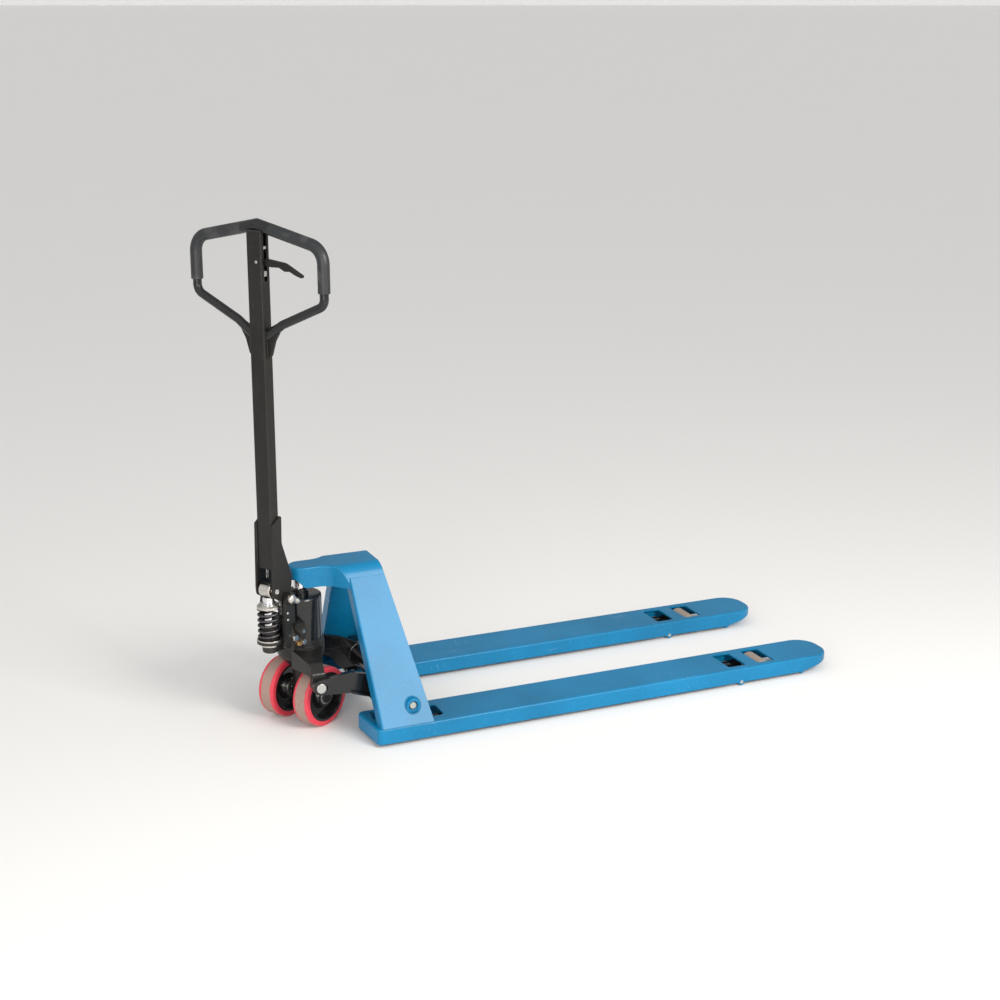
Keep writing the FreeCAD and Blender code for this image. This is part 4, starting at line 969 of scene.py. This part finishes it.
@dataclass
class Handle:
    """Shaft, loop, grips, finger lever and the roller that works the pump."""

    finishes: Finishes
    unit: Unit
    tube_u: float = -0.110
    half_depth: float = 0.0155
    half_width: float = 0.024
    foot_z: float = 1.046
    bar_radius: float = 0.011
    loop_half: float = 0.207
    grip_end_z: float = 1.168
    grip_radius: float = 0.015
    rod_v: float = 0.008

    def dress(self) -> None:
        """Satin shaft, glossier bar, rubber grips and bright pins."""
        f = self.finishes
        dress(f.satin, "handle_shaft", *both("cheek"), "control_lever")
        dress(f.bar, "handle_loop")
        dress(f.grip, *both("grip"))
        dress(f.steel, "pressure_roller", "pressure_roller_axle", "lever_pin", "pull_rod")

    def gussets(self) -> None:
        """Webs that carry the loop's feet, with their welds."""
        unit = self.unit
        for side, s in SIDES:
            rim = [(self.half_width - 0.0005, 0.988), (self.half_width - 0.0005, 1.064), (0.052, 1.079),
                   (0.071, 1.087), (0.078, 1.083), (0.066, 1.064), (0.048, 1.036), (0.036, 1.0)]
            outline = [unit.at(self.tube_u - 0.004, s * v, z) for v, z in rim]
            stock = Stock().plate(outline, unit.ahead * 0.008)
            stock.piece(f"loop_gusset_{side}", self.finishes.satin, "handle", Slot.HANDLE, 0.0015)
            seam = Stock()
            v = s * (self.half_width + 0.0006)
            for du in (-0.0046, 0.0046):
                seam.bead([unit.at(self.tube_u + du, v, 0.990), unit.at(self.tube_u + du, v,
                    1.036)], 0.0022)
            centre = unit.at(self.tube_u, v, self.foot_z + 0.0015)
            seam.circle_bead(centre, unit.left, self.bar_radius + 0.0014, 0.0024)
            seam.piece(f"loop_foot_weld_{side}", self.finishes.satin, "handle", Slot.HANDLE)

    def top_weld(self) -> None:
        """Seam round the shaft's top, under the loop."""
        unit = self.unit
        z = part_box("handle_shaft")[1].z - 0.003
        u, v = self.half_depth - 0.001, self.half_width + 0.0004
        corners = [unit.at(self.tube_u + a * u, b * v, z) for a, b in ((-1, -1), (1, -1), (1, 1), (-1, 1))]
        stock = Stock().bead(corners, 0.0026, looped=True)
        stock.piece("loop_top_weld", self.finishes.bar, "handle", Slot.HANDLE)

    def grip_ends(self) -> None:
        """Rolled collar at the lower end of each grip."""
        for side, s in SIDES:
            base = self.unit.at(self.tube_u, s * self.loop_half, self.grip_end_z)
            r = self.grip_radius
            profile = [(self.bar_radius, -0.0004), (r - 0.0018, -0.0004), (r, 0.0014), (r, 0.0195),
                       (r - 0.0004, 0.0215), (r - 0.0008, 0.0215), (self.bar_radius + 0.001, 0.0215)]
            stock = Stock().turned(base, UP, profile, True)
            stock.piece(f"grip_collar_{side}", self.finishes.grip, "handle", Slot.GRIP)

    def cheek_welds(self) -> None:
        """Seams down the rear of the cheeks."""
        unit = self.unit
        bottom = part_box("handle_shaft")[0].z
        stock = Stock()
        for _, s in SIDES:
            u = self.tube_u - self.half_depth - 0.0002
            top = unit.at(u, s * (self.half_width + 0.0005), bottom + 0.118)
            stock.bead([unit.at(u, s * (self.half_width + 0.0005), bottom + 0.006), top], 0.0021)
        stock.piece("cheek_welds", self.finishes.satin, "handle", Slot.HANDLE)

    def stop_blocks_as_highlight(self) -> None:
        """Bright steel stop block and chain anchor in the lever's slot; their brightness stands in for a
        reflection on the lever's plate, a painted highlight.
        """
        unit = self.unit
        pivot_z = unit.z_of("control_lever_turn")
        stock = Stock()
        for z0, z1 in ((pivot_z + 0.030, pivot_z + 0.038), (pivot_z - 0.036, pivot_z - 0.022)):
            rim = [(-0.0055, z0), (0.0055, z0), (0.0055, z1), (-0.0055, z1)]
            outline = [unit.at(self.tube_u + a, -self.half_width + 0.0012, z) for a, z in rim]
            stock.plate(outline, unit.left * 0.012)
        # these blocks are bright steel put where the lever's plate shows a reflection: painted highlight as
        # well as stop block and chain anchor
        stock.piece("lever_stop_highlight_blocks", self.finishes.steel, "handle", Slot.STEEL, 0.0012)

    def chain(self) -> None:
        """Release chain under the pull rod."""
        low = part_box("pull_rod")[0].z
        unit = self.unit
        half, radius, wire = 0.0052, 0.0030, 0.0011
        stock = Stock()
        for i in range(5):
            centre = unit.at(self.tube_u, self.rod_v, low - 0.003 - i * 0.0104)
            across = unit.left if i % 2 else unit.ahead
            path = []
            for j in range(20):
                a = math.tau * j / 20
                lift = half - radius if math.sin(a) >= 0 else radius - half
                path.append(centre + across * radius * math.cos(a) + UP * (radius * math.sin(a) + lift))
            stock.tube(path, wire, True, 8)
        stock.piece("release_chain", self.finishes.steel, "pull_rod", Slot.STEEL)

    def build(self) -> None:
        """Dress and detail the handle."""
        self.dress()
        self.gussets()
        self.top_weld()
        self.grip_ends()
        self.cheek_welds()
        self.stop_blocks_as_highlight()
        self.chain()


# ---- studio ----------------------------------------------------------------------------------
@dataclass(frozen=True)
class SoftBox:
    """A square soft light that faces a point."""

    name: str
    place: tuple[float, float, float]
    size: float
    watts: float
    colour: Colour = (1.0, 1.0, 1.0)
    target: tuple[float, float, float] = (0.0, 0.0, 0.35)

    def build(self) -> None:
        """Hang the light."""
        lamp = bpy.data.lights.new(self.name, "AREA")
        lamp.size = self.size
        lamp.energy = self.watts
        lamp.color = self.colour
        holder = bpy.data.objects.new(self.name, lamp)
        holder.location = self.place
        holder.rotation_euler = (Vector(self.target) - Vector(self.place)).to_track_quat("-Z",
            "Y").to_euler()
        bpy.context.scene.collection.objects.link(holder)


@dataclass
class Studio:
    """Pale floor, soft light and the camera."""

    eye: tuple[float, float, float] = (-1.9142, -4.1473, 1.8316)
    heading: float = math.radians(66.22)
    dip: float = math.radians(15.98)
    lens: float = 62.93
    shift: tuple[float, float] = (0.008, 0.0018)
    floor_half: float = 1500.0
    wall_radius: float = 900.0
    wall_height: float = 40.0
    wall_steps: int = 64
    front_glow: float = 1.15
    back_glow: float = 0.40

    def floor(self) -> None:
        """Lay the floor."""
        h = self.floor_half
        mesh = bpy.data.meshes.new("studio_floor")
        mesh.from_pydata([(-h, -h, 0), (h, -h, 0), (h, h, 0), (-h, h, 0)], [], [(0, 1, 2, 3)])
        mesh.materials.append(StudioFloor().make())
        ground = bpy.data.objects.new("studio_floor", mesh)
        bpy.context.scene.collection.objects.link(ground)

    def wall(self) -> None:
        """Stand a pale curtain far round the floor, so that no sky shows over its edge."""
        r = self.wall_radius
        low, high = [], []
        for i in range(self.wall_steps):
            a = math.tau * i / self.wall_steps
            low.append((r * math.cos(a), r * math.sin(a), -1.0))
            high.append((r * math.cos(a), r * math.sin(a), self.wall_height))
        n = self.wall_steps
        faces = [(i, (i + 1) % n, n + (i + 1) % n, n + i) for i in range(n)]
        mesh = bpy.data.meshes.new("studio_wall")
        mesh.from_pydata(low + high, [], faces)
        mesh.materials.append(StudioFloor("studio_wall").make())
        curtain = bpy.data.objects.new("studio_wall", mesh)
        bpy.context.scene.collection.objects.link(curtain)
        curtain.visible_shadow = False

    def light(self) -> None:
        """Glow that is brighter from the front, a low key light and a soft box that the leg mirrors."""
        world = bpy.data.worlds.new("studio")
        bench = Bench(world)
        front = Vector((-math.cos(self.heading), -math.sin(self.heading), 0.0))
        direction = bench.node("ShaderNodeTexCoord", None, None, 0)
        towards = bench.node("ShaderNodeVectorMath", {"operation": "DOT_PRODUCT"}, {0: direction,
            1: tuple(front)}, 1)
        strength = bench.ease(towards, -0.8, 0.9) * (self.front_glow - self.back_glow) + self.back_glow
        glow = bench.node("ShaderNodeBackground", None, {"Color": (1.0, 0.99, 0.97, 1.0),
            "Strength": strength})
        bench.node("ShaderNodeOutputWorld", None, {"Surface": glow})
        bpy.context.scene.world = world
        SoftBox("key", (-2.6, -3.4, 1.2), 1.4, 45.0, (1.0, 0.95, 0.88)).build()
        SoftBox("glare", (0.9, -3.3, 2.4), 1.5, 110.0, (1.0, 0.96, 0.90), (-0.35, -0.2, 0.2)).build()

    def camera(self) -> None:
        """Stand the camera where the view is taken from."""
        data = bpy.data.cameras.new("camera")
        data.sensor_width = 36.0
        data.lens = self.lens
        data.shift_x, data.shift_y = self.shift
        data.clip_end = 4000.0
        holder = bpy.data.objects.new("camera", data)
        holder.location = self.eye
        holder.rotation_euler = (math.pi / 2 - self.dip, 0.0, self.heading - math.pi / 2)
        bpy.context.scene.collection.objects.link(holder)
        bpy.context.scene.camera = holder

    def build(self) -> None:
        """Set the studio up."""
        self.camera()
        self.floor()
        self.wall()
        self.light()
        bpy.context.scene.view_settings.view_transform = "Standard"


def main() -> None:
    """Build the studio and every sub-assembly in order."""
    logging.basicConfig(level=logging.INFO, format="%(name)s: %(message)s")
    Studio().build()
    finishes = Finishes()
    unit = Unit()
    Chassis(finishes).build()
    Linkage(finishes).build()
    Pump(finishes, unit).build()
    SteeringWheels(finishes, unit).build()
    Handle(finishes, unit).build()


if __name__ == "__main__":
    main()
